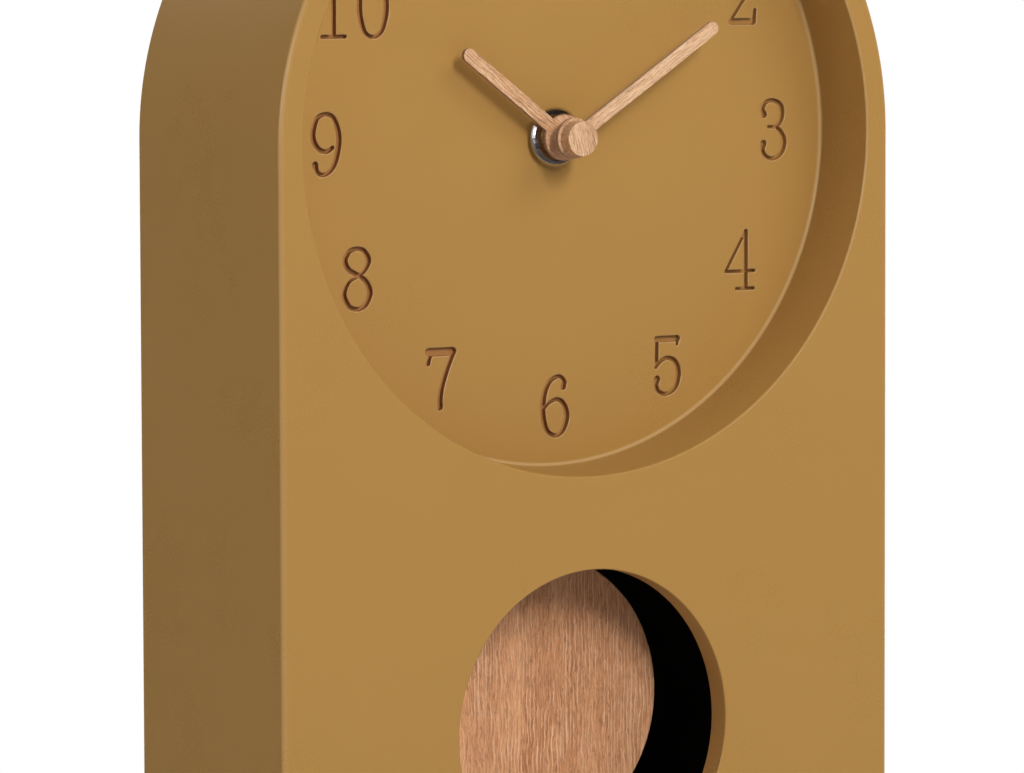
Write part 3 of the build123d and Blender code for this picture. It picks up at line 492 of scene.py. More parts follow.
# numerals: strokes of (x, z, half width) about the middle of each figure
zeroLeft = [(0.9, 5.85, 0.32), (0, 6.05, 0.3), (-0.9, 5.85, 0.32), (-2.1, 4.7, 0.42), (-3, 1.6, 0.5), (-3, -1.6, 0.5),
            (-2.1, -4.7, 0.42), (-0.9, -5.85, 0.32), (0, -6.05, 0.3)]
digits = {
    "0": [zeroLeft, [(-x, -z, half) for x, z, half in zeroLeft]],
    "1": [[(0.3, 5.9, 0.42), (0.3, -5.6, 0.42)], [(-2.4, -5.85, 0.32), (2.9, -5.85, 0.32)],
          [(0.25, 5.8, 0.3), (-0.8, 4.7, 0.28), (-2.1, 4.1, 0.26)]],
    "2": [[(-2.35, 3, 0.62), (-2.75, 4.2, 0.42), (-1.8, 5.6, 0.34), (0, 6, 0.36), (2, 5.2, 0.45), (2.8, 3.3, 0.5),
           (2, 1.2, 0.44), (-0.4, -1.9, 0.34), (-2.9, -5.3, 0.3)],
          [(-2.9, -5.55, 0.55), (2.7, -5.55, 0.55)], [(2.8, -5.5, 0.42), (3.15, -3.2, 0.3)]],
    "3": [[(-2.15, 3.1, 0.58), (-2.5, 4.4, 0.42), (-1.6, 5.7, 0.34), (0, 6, 0.36), (1.8, 5.2, 0.46), (2.35, 3.5, 0.5),
           (1.9, 1.6, 0.42), (0.6, 0.65, 0.3), (-1.1, 0.6, 0.26)],
          [(0.5, 0.65, 0.28), (2, -0.4, 0.42), (2.85, -2.6, 0.52), (2, -4.9, 0.44), (0, -5.95, 0.34),
           (-1.7, -5.4, 0.36), (-2.5, -4.2, 0.44), (-2.3, -2.8, 0.6)]],
    "4": [[(1.45, 5.9, 0.4), (1.45, -5.6, 0.4)], [(1.2, 5.6, 0.26), (-3.55, -2.15, 0.28)],
          [(-3.55, -2.25, 0.28), (3.55, -2.25, 0.28)], [(-0.9, -5.85, 0.28), (3.4, -5.85, 0.28)]],
    "5": [[(-2.5, 5.4, 0.52), (2.6, 5.4, 0.52)], [(2.6, 5.2, 0.34), (2.5, 4.2, 0.24)],
          [(-2.45, 5.2, 0.32), (-2.55, 0.6, 0.36)],
          [(-2.75, -0.3, 0.3), (-1.4, 1, 0.32), (0.2, 1.5, 0.36), (2.1, 0.6, 0.46), (2.85, -1.8, 0.5), (2, -4.6, 0.44),
           (-0.2, -5.85, 0.34), (-2, -5.3, 0.38), (-2.65, -4.1, 0.45), (-2.4, -2.75, 0.6)]],
    "6": [[(2, 3.9, 0.55), (2.25, 4.8, 0.42)],
          [(2.35, 4.6, 0.4), (1.9, 5.5, 0.36), (0.7, 6, 0.34), (-1.2, 5.1, 0.4), (-2.55, 2.6, 0.5), (-2.95, -1.3, 0.52),
           (-2.1, -4.6, 0.46), (-0.7, -5.75, 0.36), (0.1, -5.9, 0.34)],
          [(-0.7, -5.75, 0.36), (0, -5.9, 0.34), (0.8, -5.75, 0.36), (2, -4.7, 0.46), (2.85, -2, 0.52),
           (2, 0.5, 0.44), (0.3, 1.4, 0.34), (-1.5, 0.7, 0.28), (-2.6, -0.4, 0.24)]],
    "7": [[(-2.95, 5.35, 0.68), (2.75, 5.35, 0.68)], [(-3.05, 3.1, 0.42), (-2.75, 4.1, 0.36), (-2.2, 5.1, 0.32)],
          [(2.95, 5.2, 0.42), (1.5, 2, 0.42), (0.2, -1.6, 0.46), (-0.3, -4.2, 0.5), (-0.3, -5.7, 0.54)]],
    "8": [[(0.8, 5.9, 0.36), (0, 6, 0.36), (-0.8, 5.9, 0.36), (-1.9, 5.3, 0.42), (-2.75, 3.7, 0.48), (-1.9, 1.9, 0.46),
           (0.45, 0.6, 0.4), (2.1, -0.6, 0.46), (3, -2.8, 0.52), (2.1, -5, 0.44), (0.8, -5.85, 0.36), (0, -5.95, 0.36)],
          [(-0.8, 5.9, 0.36), (0, 6, 0.36), (0.8, 5.9, 0.36), (1.9, 5.3, 0.42), (2.75, 3.6, 0.46), (1.9, 1.7, 0.34),
           (0.45, 0.6, 0.26), (-1.8, -0.6, 0.28), (-3, -3, 0.46), (-2, -5.2, 0.44), (-0.8, -5.85, 0.36),
           (0, -5.95, 0.36)]],
    "9": [[(1.5, -0.7, 0.34), (0.2, -1.4, 0.36), (-1.5, -1, 0.42), (-2.75, 0.6, 0.5), (-2.95, 2.6, 0.5), (-2, 5.1, 0.4),
           (-0.7, 5.85, 0.34), (0, 5.95, 0.34), (0.7, 5.85, 0.36)],
          [(-0.7, 5.85, 0.34), (0, 5.95, 0.34), (0.7, 5.85, 0.36), (1.9, 5, 0.42), (2.9, 2.2, 0.5), (2.85, -0.6, 0.52),
           (1.9, -4, 0.46), (0.2, -5.75, 0.36), (-1.4, -5.85, 0.36), (-2.2, -5, 0.42), (-2.5, -4, 0.58)]],
}
dial = {"ring": 53.7, "floor": 15.0, "groove": 1.25, "weight": 1.28, "flare": 0.17, "rim": 0.14, "draft": 0.05,
        "toolTop": 0.6, "lap": 0.01, "spread": {10: (-4.75, 4.6), 11: (-3.5, 3.2), 12: (-4.75, 4.6)},
        "nudge": {1: (0.4, 0.8), 2: (0.2, 1.0), 3: (0.6, 0), 4: (-0.4, 0.3), 5: (1.1, -0.8), 6: (0.65, -0.65),
                  7: (0.4, -0.95), 8: (0.5, 0), 9: (0.7, -0.1), 10: (-0.1, 0), 11: (0.3, 0.7), 12: (0.4, 0.8)}}


def smoothStroke(points, steps=7):  # rounded path through the points
    if len(points) == 2:
        return [tuple(a + (b - a) * i / 4 for a, b in zip(*points)) for i in range(5)]

    def bend(t, a, b, c, d):
        return 0.5 * (2 * b + (c - a) * t + (2 * a - 5 * b + 4 * c - d) * t * t + (3 * b - a - 3 * c + d) * t ** 3)

    path = []
    for i in range(len(points) - 1):
        near = [points[max(0, i - 1)], points[i], points[i + 1], points[min(len(points) - 1, i + 2)]]
        path += [tuple(bend(k / steps, *values) for values in zip(*near)) for k in range(steps)]
    return path + [points[-1]]


def strokeOutline(path, grow):
    left, right = [], []
    for i, (x, z, half) in enumerate(path):
        ax, az, _ = path[max(0, i - 1)]
        bx, bz, _ = path[min(len(path) - 1, i + 1)]
        length = hypot(bx - ax, bz - az)
        nx, nz = -(bz - az) / length, (bx - ax) / length
        left.append((x + nx * (half + grow), z + nz * (half + grow)))
        right.append((x - nx * (half + grow), z - nz * (half + grow)))

    def nose(centre, start):  # round end
        x, z, half = centre
        return arc(half + grow, sweep(atan2(start[1] - z, start[0] - x), -pi, 6)[1:-1], x, z)

    return left + nose(path[-1], left[-1]) + right[::-1] + nose(path[0], right[0])


def grooveTools(figure, at):
    tools = []
    floor, flare = dial["floor"], dial["flare"]
    levels = [(floor - dial["toolTop"], flare), (floor - dial["lap"], flare), (floor + dial["rim"], 0.0)]
    levels.append((floor + dial["groove"], -dial["draft"]))
    for stroke in digits[figure]:
        path = smoothStroke([(x, z, half * dial["weight"]) for x, z, half in stroke])
        rings = [[spot(at[0] + x, depth, at[1] + z) for x, z in strokeOutline(path, grow)] for depth, grow in levels]
        tools.append(loft("groove", rings))
    return tools


def engrave(body):
    tools = []
    for hour, (right, up) in dial["nudge"].items():
        a = radians(30 * hour)
        x, z = dial["ring"] * sin(a) + right, dial["ring"] * cos(a) + up
        for figure, shift in zip(str(hour), dial["spread"].get(hour, (0,))):
            tools += grooveTools(figure, (x + shift, z))
    for tool in tools:
        carve(body, tool)
    return len(tools)


# reaches of the painted shade in the grooves and of the painted highlight on the edges
paintedLightMarks = {"figures": (20, 66), "bottomFrom": 0.16, "bottomTo": 0.1, "dialFoot": (60, 68), "outerSide": 70,
        "outerBase": -168, "outerShare": 0.2, "rimMiddle": 0.25, "rimReach": 0.35, "rimShare": 0.7,
        "lips": (20, 62), "lipDepth": 0.08, "lipSlope": 0.2, "skin": 0.001, "flat": 0.8}


def fromHub(point):  # mm to the right, back from the front face, up, and away from the hub's axis
    x, depth, z = (point - spot(0, 0, 0)) * 1000
    return x, depth, z, hypot(x, z)


def grooveMark(face):  # painted shade in the engraved numerals: 0.5 at the bottom, 1 on the walls
    x, depth, z, reach = fromHub(face.center)
    low, high = dial["floor"] + paintedLightMarks["bottomFrom"], dial["floor"] + dial["groove"] + paintedLightMarks["bottomTo"]
    if not (paintedLightMarks["figures"][0] < reach < paintedLightMarks["figures"][1] and low < depth < high):
        return 0.0
    return 0.5 if abs(face.normal.y) > paintedLightMarks["flat"] else 1.0


def wearMark(face):  # painted highlight on the edges: the dial's foot, the front's outer edge, the recess's rim (right side only), the numerals' lips
    x, depth, z, reach = fromHub(face.center)
    slope = sin(2 * acos(min(1.0, abs(face.normal.y))))
    deep, side = shell["dialDepth"], paintedLightMarks["outerSide"]
    if paintedLightMarks["dialFoot"][0] < reach < paintedLightMarks["dialFoot"][1] and deep - shell["floorRound"] < depth < deep - paintedLightMarks["skin"]:
        return slope
    if depth < shell["frontRound"] and (abs(x) > side or z < paintedLightMarks["outerBase"] or z > 0 and reach > side):
        return paintedLightMarks["outerShare"] * slope
    onRim = abs(reach - shell["dialRadius"] - paintedLightMarks["rimMiddle"]) < paintedLightMarks["rimReach"]
    if onRim and paintedLightMarks["skin"] < depth < shell["rimRound"]:
        return paintedLightMarks["rimShare"] * slope * max(0.0, x / reach)
    onLip = paintedLightMarks["lips"][0] < reach < paintedLightMarks["lips"][1] and slope > paintedLightMarks["lipSlope"]
    return 1.0 if onLip and abs(depth - dial["floor"] - paintedLightMarks["lipDepth"]) < paintedLightMarks["lipDepth"] else 0.0


caseShell = makeShell()
strokes = engrave(caseShell)
soften(caseShell)
# painted shade in the grooves and painted highlight on the edges
markFaces(caseShell, "engraved", grooveMark)
markFaces(caseShell, "paintedHighlight", wearMark)
finishPiece(caseShell, "case", "case_plastic", casePlastic, "case_shell")
print("case:", len(caseShell.data.polygons), "faces,", strokes, "engraved strokes")

# hands: oak plates with a round hub
hands = {
    "hour": {"front": 10.2, "thick": 1.0, "angle": -53.1, "hub": 4.6, "reach": 29.5, "width": 2.8, "bore": 2.52,
             "edge": 0.07, "body": "hour_work", "tones": hourShadedTones},
    "minute": {"front": 6.5, "thick": 1.0, "angle": 57.5, "hub": 4.1, "reach": 41.0, "width": 2.8, "bore": 1.72,
               "edge": 0.07, "body": "minute_work", "tones": handTones},
}


def handRing(hand, inset, depth):
    hub, half, reach = hand["hub"] - inset, hand["width"] / 2 - inset, hand["reach"] - inset
    start = asin(half / hub)
    tip = reach - half
    points = arc(hub, sweep(start, 2 * pi - 2 * start, 64))
    root = points[-1][0]
    points += [(root + (tip - root) * i / 12, -half) for i in range(1, 12)]
    points += arc(half, sweep(-pi / 2, pi, 20), tip)
    points += [(tip + (root - tip) * i / 12, half) for i in range(1, 12)]
    return ringAt(turned(points, radians(90 - hand["angle"])), depth)


def finishOak(obj, body, material, node):
    soften(obj)
    markFaces(obj, "cutEdge", lambda face: 1.0 if abs(face.normal.y) < 0.5 else 0.0)  # 0 on the flat faces
    finishPiece(obj, body, "oak", material, node)


for label, hand in hands.items():
    front, back = hand["front"], hand["front"] + hand["thick"]
    piece = loft(label + "Hand", [handRing(hand, inset, depth) for inset, depth in slab(front, back, hand["edge"], 3)])
    drill(piece, hand["bore"], front - past, back + past)
    grain = oak(label + "HandOak", hand["angle"], fineness=1.6, centre=(hand["angle"], 3, 11), tones=hand["tones"])
    finishOak(piece, hand["body"], grain, label + "_hand")

cap = {"front": 3.55, "back": 6.5, "radius": 3.5, "round": 0.1, "bore": 0.82, "boreDepth": 4.55}
capEdge = [(cap["radius"] - i, cap["front"] + d) for i, d in roundSteps(cap["round"], 4)]
handCap = lathe("handCap", capEdge + [(cap["radius"], cap["back"])], steps=72)
drill(handCap, cap["bore"], cap["boreDepth"], cap["back"] + past, steps=32)
finishOak(handCap, "minute_work", oak("capOak", lean=-14, fineness=1.7, centre=(5, 31, 2), edge=False), "hand_cap")
print("hands:", ", ".join(hands), "and cap")

# fixing nut: round, polished, with two spanner slots
nut = {"front": 12.5, "back": 15.0, "neck": 5.1, "bore": 4.02, "slotHalf": 0.6, "slotInner": 4.7, "slotOuter": 5.55,
       "slotDrop": 0.9, "slotAngle": 18.0,
       "bevel": [(4.9, 0.0), (5.48, 0.35), (5.88, 0.84), (5.98, 1.0), (5.98, 1.12), (5.8, 1.26)]}  # radius and drop
nutEdge = [(r, nut["front"] + d) for r, d in nut["bevel"]]
nutFoot = [(nut["neck"], nutEdge[-1][1]), (nut["neck"], nut["back"])]
fixingNut = lathe("fixingNut", nutEdge + nutFoot, steps=128)
inner, outer, half = nut["slotInner"], nut["slotOuter"], nut["slotHalf"]
for turn in (0, 180):
    corners = [(inner, -half), (outer, -half), (outer, half), (inner, half)]
    corners = turned(corners, radians(nut["slotAngle"] + turn))
    depths = nut["front"] - past, nut["front"] + nut["slotDrop"]
    carve(fixingNut, loft("slot", [ringAt(corners, d) for d in depths]))
drill(fixingNut, nut["bore"], nut["front"] - past, nut["back"] + past, steps=64)
soften(fixingNut)
finishPiece(fixingNut, "case", "polished_chrome", chrome, "fixing_nut")

# pendulum bob: oak disc
bob = {"drop": 114.5, "radius": 29.6, "front": 22.0, "thick": 3.2, "round": 0.4}
bobRings = [(bob["radius"] - i, d) for i, d in slab(bob["front"], bob["front"] + bob["thick"], bob["round"], 4)]
pendulumBob = lathe("pendulumBob", bobRings, (0, -bob["drop"]), 160)
finishOak(pendulumBob, "pendulum", bobOak, "pendulum_bob")
print("nut and bob")


# geometry nodes
def startNodes(name, inputs):
    return startTree(name, "GeometryNodeTree", {"Geometry": "g", **inputs, "Finish": "m"}, {"Geometry": "g"})


def closeNodes(tree, a, out, shape, lean=None):
    if lean:
        settings = {"Geometry": shape, "Translation": a["Place"], "Rotation": lean}
        shape = flow(tree, "GeometryNodeTransform", settings)
    plain = flow(tree, "GeometryNodeRealizeInstances", {0: shape})
    painted = put(tree, "GeometryNodeSetMaterial", {"Geometry": plain, "Material": a["Finish"]})
    tree.links.new(painted.outputs[0], out["Geometry"])
    return tree


def growFrom(tree, name, points, values):
    obj = addObject(name, meshFrom(name, points, []))
    grow = obj.modifiers.new("grow", "NODES")
    grow.node_group = tree
    sockets = {item.name: item.identifier for item in tree.interface.items_tree if item.in_out == "INPUT"}
    for label, value in values.items():
        grow[sockets[label]] = value
    return settle(obj)


def copiesTree():  # copies on points, each turned a little differently about one axis
    tree, a, out = startNodes("placeCopies", {"Piece": "o", "Turn": "v", "Seed": "i"})
    shape = flow(tree, "GeometryNodeObjectInfo", {"Object": a["Piece"]}, result="Geometry")
    chance = flow(tree, "FunctionNodeRandomValue", {"Seed": a["Seed"]}, data_type="FLOAT", result=1)
    settings = {"Points": a["Geometry"], "Instance": shape, "Rotation": scaled(tree, a["Turn"], chance)}
    return closeNodes(tree, a, out, flow(tree, "GeometryNodeInstanceOnPoints", settings))


copies = copiesTree()

# screws of the back cover: pan heads with a cross recess
screw = {"crown": [(0.9, 0.0), (1.7, 0.05), (2.25, 0.2), (2.52, 0.45), (2.6, 0.8)],  # radius and drop from the top
         "head": 2.6, "headHigh": 1.5, "shank": 1.4, "core": 1.05, "pitch": 0.7, "long": 12.0, "plainNeck": 0.6,
         "tip": 0.25, "tipLong": 1.2, "threadEnd": 2.2, "seat": 53.0, "cross": 1.45, "crossWide": 0.34,
         "crossDeep": 0.95, "crossLead": 0.3, "crossTaper": (1.1, 0.6),
         "root": 0.25, "crest": 0.6}  # thread, in pitches


def makeScrew():
    seat, core, shank, pitch = screw["seat"], screw["core"], screw["shank"], screw["pitch"]
    top, end = seat + screw["headHigh"], seat - screw["long"]
    profile = [(r, top - d) for r, d in screw["crown"]] + [(screw["head"], seat), (shank, seat)]
    for i in range(int((screw["long"] - screw["threadEnd"]) / pitch)):
        at = seat - screw["plainNeck"] - i * pitch
        profile += [(core, at), (core, at - screw["root"] * pitch), (shank, at - screw["crest"] * pitch)]
    obj = lathe("screw", profile + [(core, end + screw["tipLong"]), (screw["tip"], end)], steps=36)
    arm, half = screw["cross"], screw["crossWide"]
    plus = [(arm, half), (half, half), (half, arm)]
    for _ in range(3):
        plus += [(-z, x) for x, z in plus[-3:]]
    wide, narrow = screw["crossTaper"]
    levels = (top + screw["crossLead"], wide), (top - screw["crossDeep"], narrow)
    carve(obj, loft("cross", [[spot(x * grow, depth, z * grow) for x, z in plus] for depth, grow in levels]))
    soften(obj, 40)
    obj.data.transform(Matrix.Translation(-spot(0, seat, 0)))
    return obj


def makeFoot():  # rubber pad with rings on the underside
    top, low, deep = foot["ringTop"], foot["ringFoot"], foot["ringDeep"]
    profile = [(foot["centre"], 0.0)]
    for r in foot["rings"]:
        profile += [(r - top, 0.0), (r - low, deep), (r + low, deep), (r + top, 0.0)]
    profile += [(foot["radius"] - i, d) for i, d in roundSteps(foot["round"], 4)] + [(foot["radius"], foot["high"])]
    rings = [[Vector((x, y, z)) / 1000 for x, y in arc(r, fullTurn(64))] for r, z in profile]
    return soften(loft("foot", rings), 50)


def placeCopies(name, piece, points, turn, seed, material, slotName, node):
    values = {"Piece": piece, "Turn": turn, "Seed": seed, "Finish": material}
    finishPiece(growFrom(copies, name, points, values), "case", slotName, None, node)
    bpy.data.objects.remove(piece)


screwSpots = ringAt(bossSpots(), screw["seat"])
placeCopies("coverScrews", makeScrew(), screwSpots, (0, pi, 0), 4, steel, "steel", "back_cover_screws")
placeCopies("feet", makeFoot(), footSpots(), (0, 0, 1.0), 2, rubber, "rubber", "foot_pads")
print("screws:", len(screwSpots), "feet:", len(footSpots()))

# setting knob: round, fluted, pressed on the shaft
knob = {"radius": 6.0, "front": 35.0, "back": 39.0, "flutes": 18, "fluteDeep": 0.55, "ease": 0.35, "bore": 1.22,
        "fluteShape": 0.6, "roof": 0.8, "drop": 10.8,
        "dish": [(3.6, -0.35), (4.2, 0.2)]}  # radius and depth from the back


def knobTree():
    sizes = ("Radius", "High", "Flutes", "Flute Deep", "Ease")
    tree, a, out = startNodes("flutedKnob", {**dict.fromkeys(sizes, "f"), "Place": "v"})
    ring = flow(tree, "GeometryNodeCurvePrimitiveCircle", {"Resolution": 360, "Radius": a["Radius"]}, result="Curve")
    along = times(tree, flow(tree, "GeometryNodeSplineParameter", result="Factor"), 2 * pi)
    wave = calc(tree, "COSINE", times(tree, along, a["Flutes"]))
    dent = calc(tree, "POWER", calc(tree, "MAXIMUM", wave, 0.0), knob["fluteShape"])
    depth = times(tree, dent, calc(tree, "DIVIDE", a["Flute Deep"], a["Radius"]))
    here = flow(tree, "GeometryNodeInputPosition")
    moved = scaled(tree, here, calc(tree, "SUBTRACT", 1.0, depth))
    outline = flow(tree, "GeometryNodeSetPosition", {"Geometry": ring, "Position": moved})
    disc = flow(tree, "GeometryNodeFillCurve", {0: outline}, mode="NGONS")

    def lift(inputs, high):
        settings = {**inputs, "Offset Scale": high, "Individual": False}
        return put(tree, "GeometryNodeExtrudeMesh", settings, mode="FACES").outputs

    wall = lift({"Mesh": disc}, calc(tree, "SUBTRACT", a["High"], a["Ease"]))
    brow = lift({"Mesh": wall["Mesh"], "Selection": wall["Top"]}, a["Ease"])
    shrink = calc(tree, "SUBTRACT", 1.0, calc(tree, "DIVIDE", a["Ease"], a["Radius"]))
    settings = {"Geometry": brow["Mesh"], "Selection": brow["Top"], "Scale": shrink}
    drawn = flow(tree, "GeometryNodeScaleElements", settings)
    both = tree.nodes.new("GeometryNodeJoinGeometry")
    tree.links.new(drawn, both.inputs[0])
    tree.links.new(flow(tree, "GeometryNodeFlipFaces", {0: disc}), both.inputs[0])
    whole = flow(tree, "GeometryNodeMergeByDistance", {"Geometry": both.outputs[0], "Distance": 0.00001})
    return closeNodes(tree, a, out, whole, (-pi / 2, 0, 0))


knobAt = (0, -knob["drop"])
settingKnob = growFrom(knobTree(), "settingKnob", [(0, 0, 0)], {
    "Radius": knob["radius"] / 1000, "High": (knob["back"] - knob["front"]) / 1000, "Flutes": float(knob["flutes"]),
    "Flute Deep": knob["fluteDeep"] / 1000, "Ease": knob["ease"] / 1000, "Place": spot(0, knob["front"], knobAt[1]),
    "Finish": movementPlastic})
drill(settingKnob, knob["bore"], knob["front"] - past, knob["back"] - knob["roof"], knobAt)
carve(settingKnob, lathe("dish", [(r, knob["back"] + d) for r, d in knob["dish"]], knobAt, 64))
soften(settingKnob, 40)
finishPiece(settingKnob, "motion_work", "movement_plastic", movementPlastic, "setting_knob")
print("knob:", len(settingKnob.data.polygons), "faces")

# windings: enamelled wire in close turns
windings = {"motor_coil": {"wire": 0.16, "radius": 3.0, "along": 2, "flange": 0.8},
            "drive_coil": {"wire": 0.22, "radius": 5.2, "along": 1, "flange": 0.0}}
lay = {"press": 1.02, "skin": 0.9, "slack": 2e-5, "sink": 1.2}  # outer turns on those below


def windingTree():
    sizes = ("Turns", "Radius", "Long", "Wire")
    tree, a, out = startNodes("woundWire", {**dict.fromkeys(sizes, "f"), "Place": "v", "Lean": "v"})
    settings = {"Resolution": 28, "Rotations": a["Turns"], "Start Radius": a["Radius"], "End Radius": a["Radius"]}
    helix = flow(tree, "GeometryNodeCurveSpiral", {**settings, "Height": a["Long"]})
    section = flow(tree, "GeometryNodeCurvePrimitiveCircle", {"Resolution": 6, "Radius": a["Wire"]}, result="Curve")
    settings = {"Curve": helix, "Profile Curve": section, "Fill Caps": True}
    return closeNodes(tree, a, out, flow(tree, "GeometryNodeCurveToMesh", settings), a["Lean"])


def boxOf(nodeName):  # middle and size
    lowest, highest = [Vector(v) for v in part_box(nodeName)]
    return (lowest + highest) / 2, highest - lowest


def wind(tree, nodeName, coil):
    middle, size = boxOf(nodeName)
    axis = coil["along"]
    length = size[axis] - 2 * coil["flange"] / 1000
    wire, radius = coil["wire"] / 2000, coil["radius"] / 1000
    start = middle.copy()
    start[axis] -= length / 2 - wire
    turns = (length - 2 * wire) / (2 * wire)
    values = {"Turns": turns, "Radius": radius - wire, "Long": length - 2 * wire, "Wire": wire * lay["press"],
              "Place": start, "Lean": (-pi / 2, 0, 0) if axis == 1 else (0, 0, 0), "Finish": copper}
    piece = growFrom(tree, nodeName.replace("_c", "C"), [(0, 0, 0)], values)

    def sink(form):  # the layers below lie under the outer turns
        bmesh.ops.remove_doubles(form, verts=form.verts, dist=1e-6)
        for v in form.verts:
            out = v.co - middle
            out[axis] = 0
            under = abs(v.co[axis] - middle[axis]) < length / 2 + lay["slack"] / 2
            if under and radius * lay["skin"] < out.length < radius + lay["slack"]:
                v.co -= out.normalized() * (out.length - (radius - lay["sink"] * wire))

    core = reshape(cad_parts[nodeName].data.copy(), sink)
    paint(core, copper)
    reshape(piece.data, lambda form: form.from_mesh(core))
    bpy.data.meshes.remove(core)
    piece.data.shade_smooth()
    piece.data.set_sharp_from_angle(angle=radians(40))
    finishPiece(piece, "case", "copper_winding", None, nodeName)
    print(nodeName, "turns:", round(turns))


wound = windingTree()
for nodeName, coil in windings.items():
    wind(wound, nodeName, coil)

# battery: plain sleeve over a steel can, with a raised pole
cell = {"radius": 7.25, "long": 50.5, "pole": 2.75, "poleLong": 1.2, "rings": (-15, -5, 5, 15),
        "sleeveEnds": (0.76, 0.7), "bandEdge": (-16.1, -15.9), "can": (0.56, 0.56, 0.57, 1),
        "sleeve": (0.36, 0.38, 0.40, 1), "band": (0.04, 0.12, 0.16, 1),
        "poleEdge": [(-0.9, 0.0), (-0.35, 0.04), (-0.08, 0.2), (0.0, 0.45)],  # from the pole's rim
        "poleFoot": [(0.0, 0.1), (0.3, 0.25)],
        "shoulder": [(5.3, 0.25), (5.5, 0.12), (6.5, 0.02), (6.9, 0.12), (7.1, 0.35), (7.14, 0.75), (7.2, 0.8),
                     (7.25, 0.9)],
        "bottom": [(7.25, 0.75), (7.2, 0.68), (7.14, 0.62), (7.05, 0.3), (6.75, 0.08), (6.4, 0.0), (5.6, 0.0),
                   (5.4, 0.18), (3.0, 0.18), (2.8, 0.1), (0.5, 0.1)]}


def makeCell():
    middle = boxOf("battery")[0] * 1000
    end, pole = cell["long"] / 2, cell["pole"]
    top = -end + cell["poleLong"]
    profile = [(pole + r, -end + x) for r, x in cell["poleEdge"]]
    profile += [(pole + r, top + x) for r, x in cell["poleFoot"]]
    profile += [(r, top + x) for r, x in cell["shoulder"]] + [(cell["radius"], x) for x in cell["rings"]]
    profile += [(r, end - x) for r, x in cell["bottom"]]
    turns = fullTurn(96)
    rings = [[Vector((x + middle.x, y, z)) / 1000 for y, z in arc(r, turns, middle.y, middle.z)] for r, x in profile]
    obj = soften(loft("cell", rings), 40)
    low, high = top + cell["sleeveEnds"][0], end - cell["sleeveEnds"][1]
    markFaces(obj, "bare", lambda face: 0.0 if low < face.center.x * 1000 < high else 1.0)  # steel of both ends
    return obj


def cellFinish():
    material, tree, shader = startMaterial("batterySleeve")
    vector = grainSpot(tree)
    along = flow(tree, "ShaderNodeSeparateXYZ", {0: vector})
    color = blendColor(tree, between(tree, along, *cell["bandEdge"], 1.0, 0.0), cell["sleeve"], cell["band"])
    values = {"Vector": vector, "Color": color, "Grain": 3.0, "Drift": 0.12, "Sheen": 0.28}
    node = useGroup(tree, shader, "mouldGrain", values, 0.02, 0.0001)
    bare = faceMark(tree, "bare")
    skin = blendColor(tree, bare, node.outputs["Color"], cell["can"])
    feed(tree, shader, {"Base Color": skin, "Metallic": bare})
    return material


finishPiece(makeCell(), "battery_cell", "battery_skin", cellFinish(), "battery")
print("battery done")

# mouldings with eased edges: copies of the CAD meshes, joined and bevelled
eased = {"back_cover": ("case", "cover_plastic", 0.3), "movement_case": ("case", "movement_plastic", 0.2),
         "movement_cover": ("case", "movement_plastic", 0.2), "pendulum_hanger": ("pendulum", "movement_plastic", 0.15),
         "bob_clip": ("pendulum", "movement_plastic", 0.15), "pendulum_rod": ("pendulum", "steel", 0.08)}
easedFinishes = {"cover_plastic": coverPlastic, "movement_plastic": movementPlastic, "steel": steel}


def easedCopy(nodeName, ease):
    def join(form):
        bmesh.ops.remove_doubles(form, verts=form.verts, dist=2e-6)
        bmesh.ops.dissolve_limit(form, angle_limit=radians(0.6), verts=form.verts, edges=form.edges)

    mesh = reshape(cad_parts[nodeName].data.copy(), join)
    obj = addObject(nodeName.title().replace("_", ""), mesh)
    limits = {"limit_method": "ANGLE", "angle_limit": radians(40), "use_clamp_overlap": True}
    return soften(modify(obj, "BEVEL", width=ease / 1000, segments=2, **limits), 35)


for nodeName, (body, slotName, ease) in eased.items():
    piece = finishPiece(easedCopy(nodeName, ease), body, slotName, easedFinishes[slotName], nodeName)
    print(piece.name, len(piece.data.polygons), "faces")

# nodes that keep their CAD mesh
nodeFinishes = {
    movementPlastic: ["circuit_chip"],
    wheelPlastic: ["hour_wheel", "centre_wheel", "motion_wheel", "third_wheel", "second_wheel", "intermediate_wheel",
                   "rotor_pinion", "train_plate"],
    rubber: ["dial_washer"],
    brass: ["threaded_bushing", "minute_arbor"],
    steel: ["stator", "motor_core", "pendulum_pin", "pendulum_magnet", "rotor_magnet", "quartz_crystal",
            "battery_contact_plus", "battery_contact_minus"],
    boardResin: ["circuit_board"],
}
for material, names in nodeFinishes.items():
    for name in names:
        paint(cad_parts[name].data, material)
print("nodes finished:", sum(len(n) for n in nodeFinishes.values()))

# studio: pale floor, white background, soft key from the upper front, camera at the photograph's angle
studio = {"floorSize": 6, "floorTone": (0.74, 0.74, 0.74, 1), "floorFade": (0.12, 0.27), "fill": 0.07,
          "fillTint": (1.0, 0.99, 1.02, 1), "flagTone": (0.10, 0.085, 0.075, 1), "aim": (0, 0, 0.14),
          "lamps": {"key": (19.1, 0.3, 0.62, (-0.17, -1.6, 0.95)), "top": (10.1, 1.0, 1.0, (0.6, -1.12, 1.28)),
                    "left": (4.95, 0.35, 0.35, (-1.5, 0.0, 0.4)), "right": (4.65, 0.35, 0.35, (1.5, 0.0, 0.4)),
                    "back": (14.0, 1.0, 1.0, (0.1, 1.6, 0.7)), "glint": (5.5, 0.3, 0.5, (-1.3, -0.92, 0.6))}}


def whiteRays(tree):
    rays = put(tree, "ShaderNodeLightPath").outputs
    seen = calc(tree, "MAXIMUM", rays["Is Camera Ray"], rays["Is Glossy Ray"])
    return calc(tree, "MAXIMUM", seen, rays["Is Transmission Ray"])


def stagePiece(name, corners, faces, material):
    obj = addObject(name, meshFrom(name, corners, faces))
    paint(obj.data, material)
    return obj


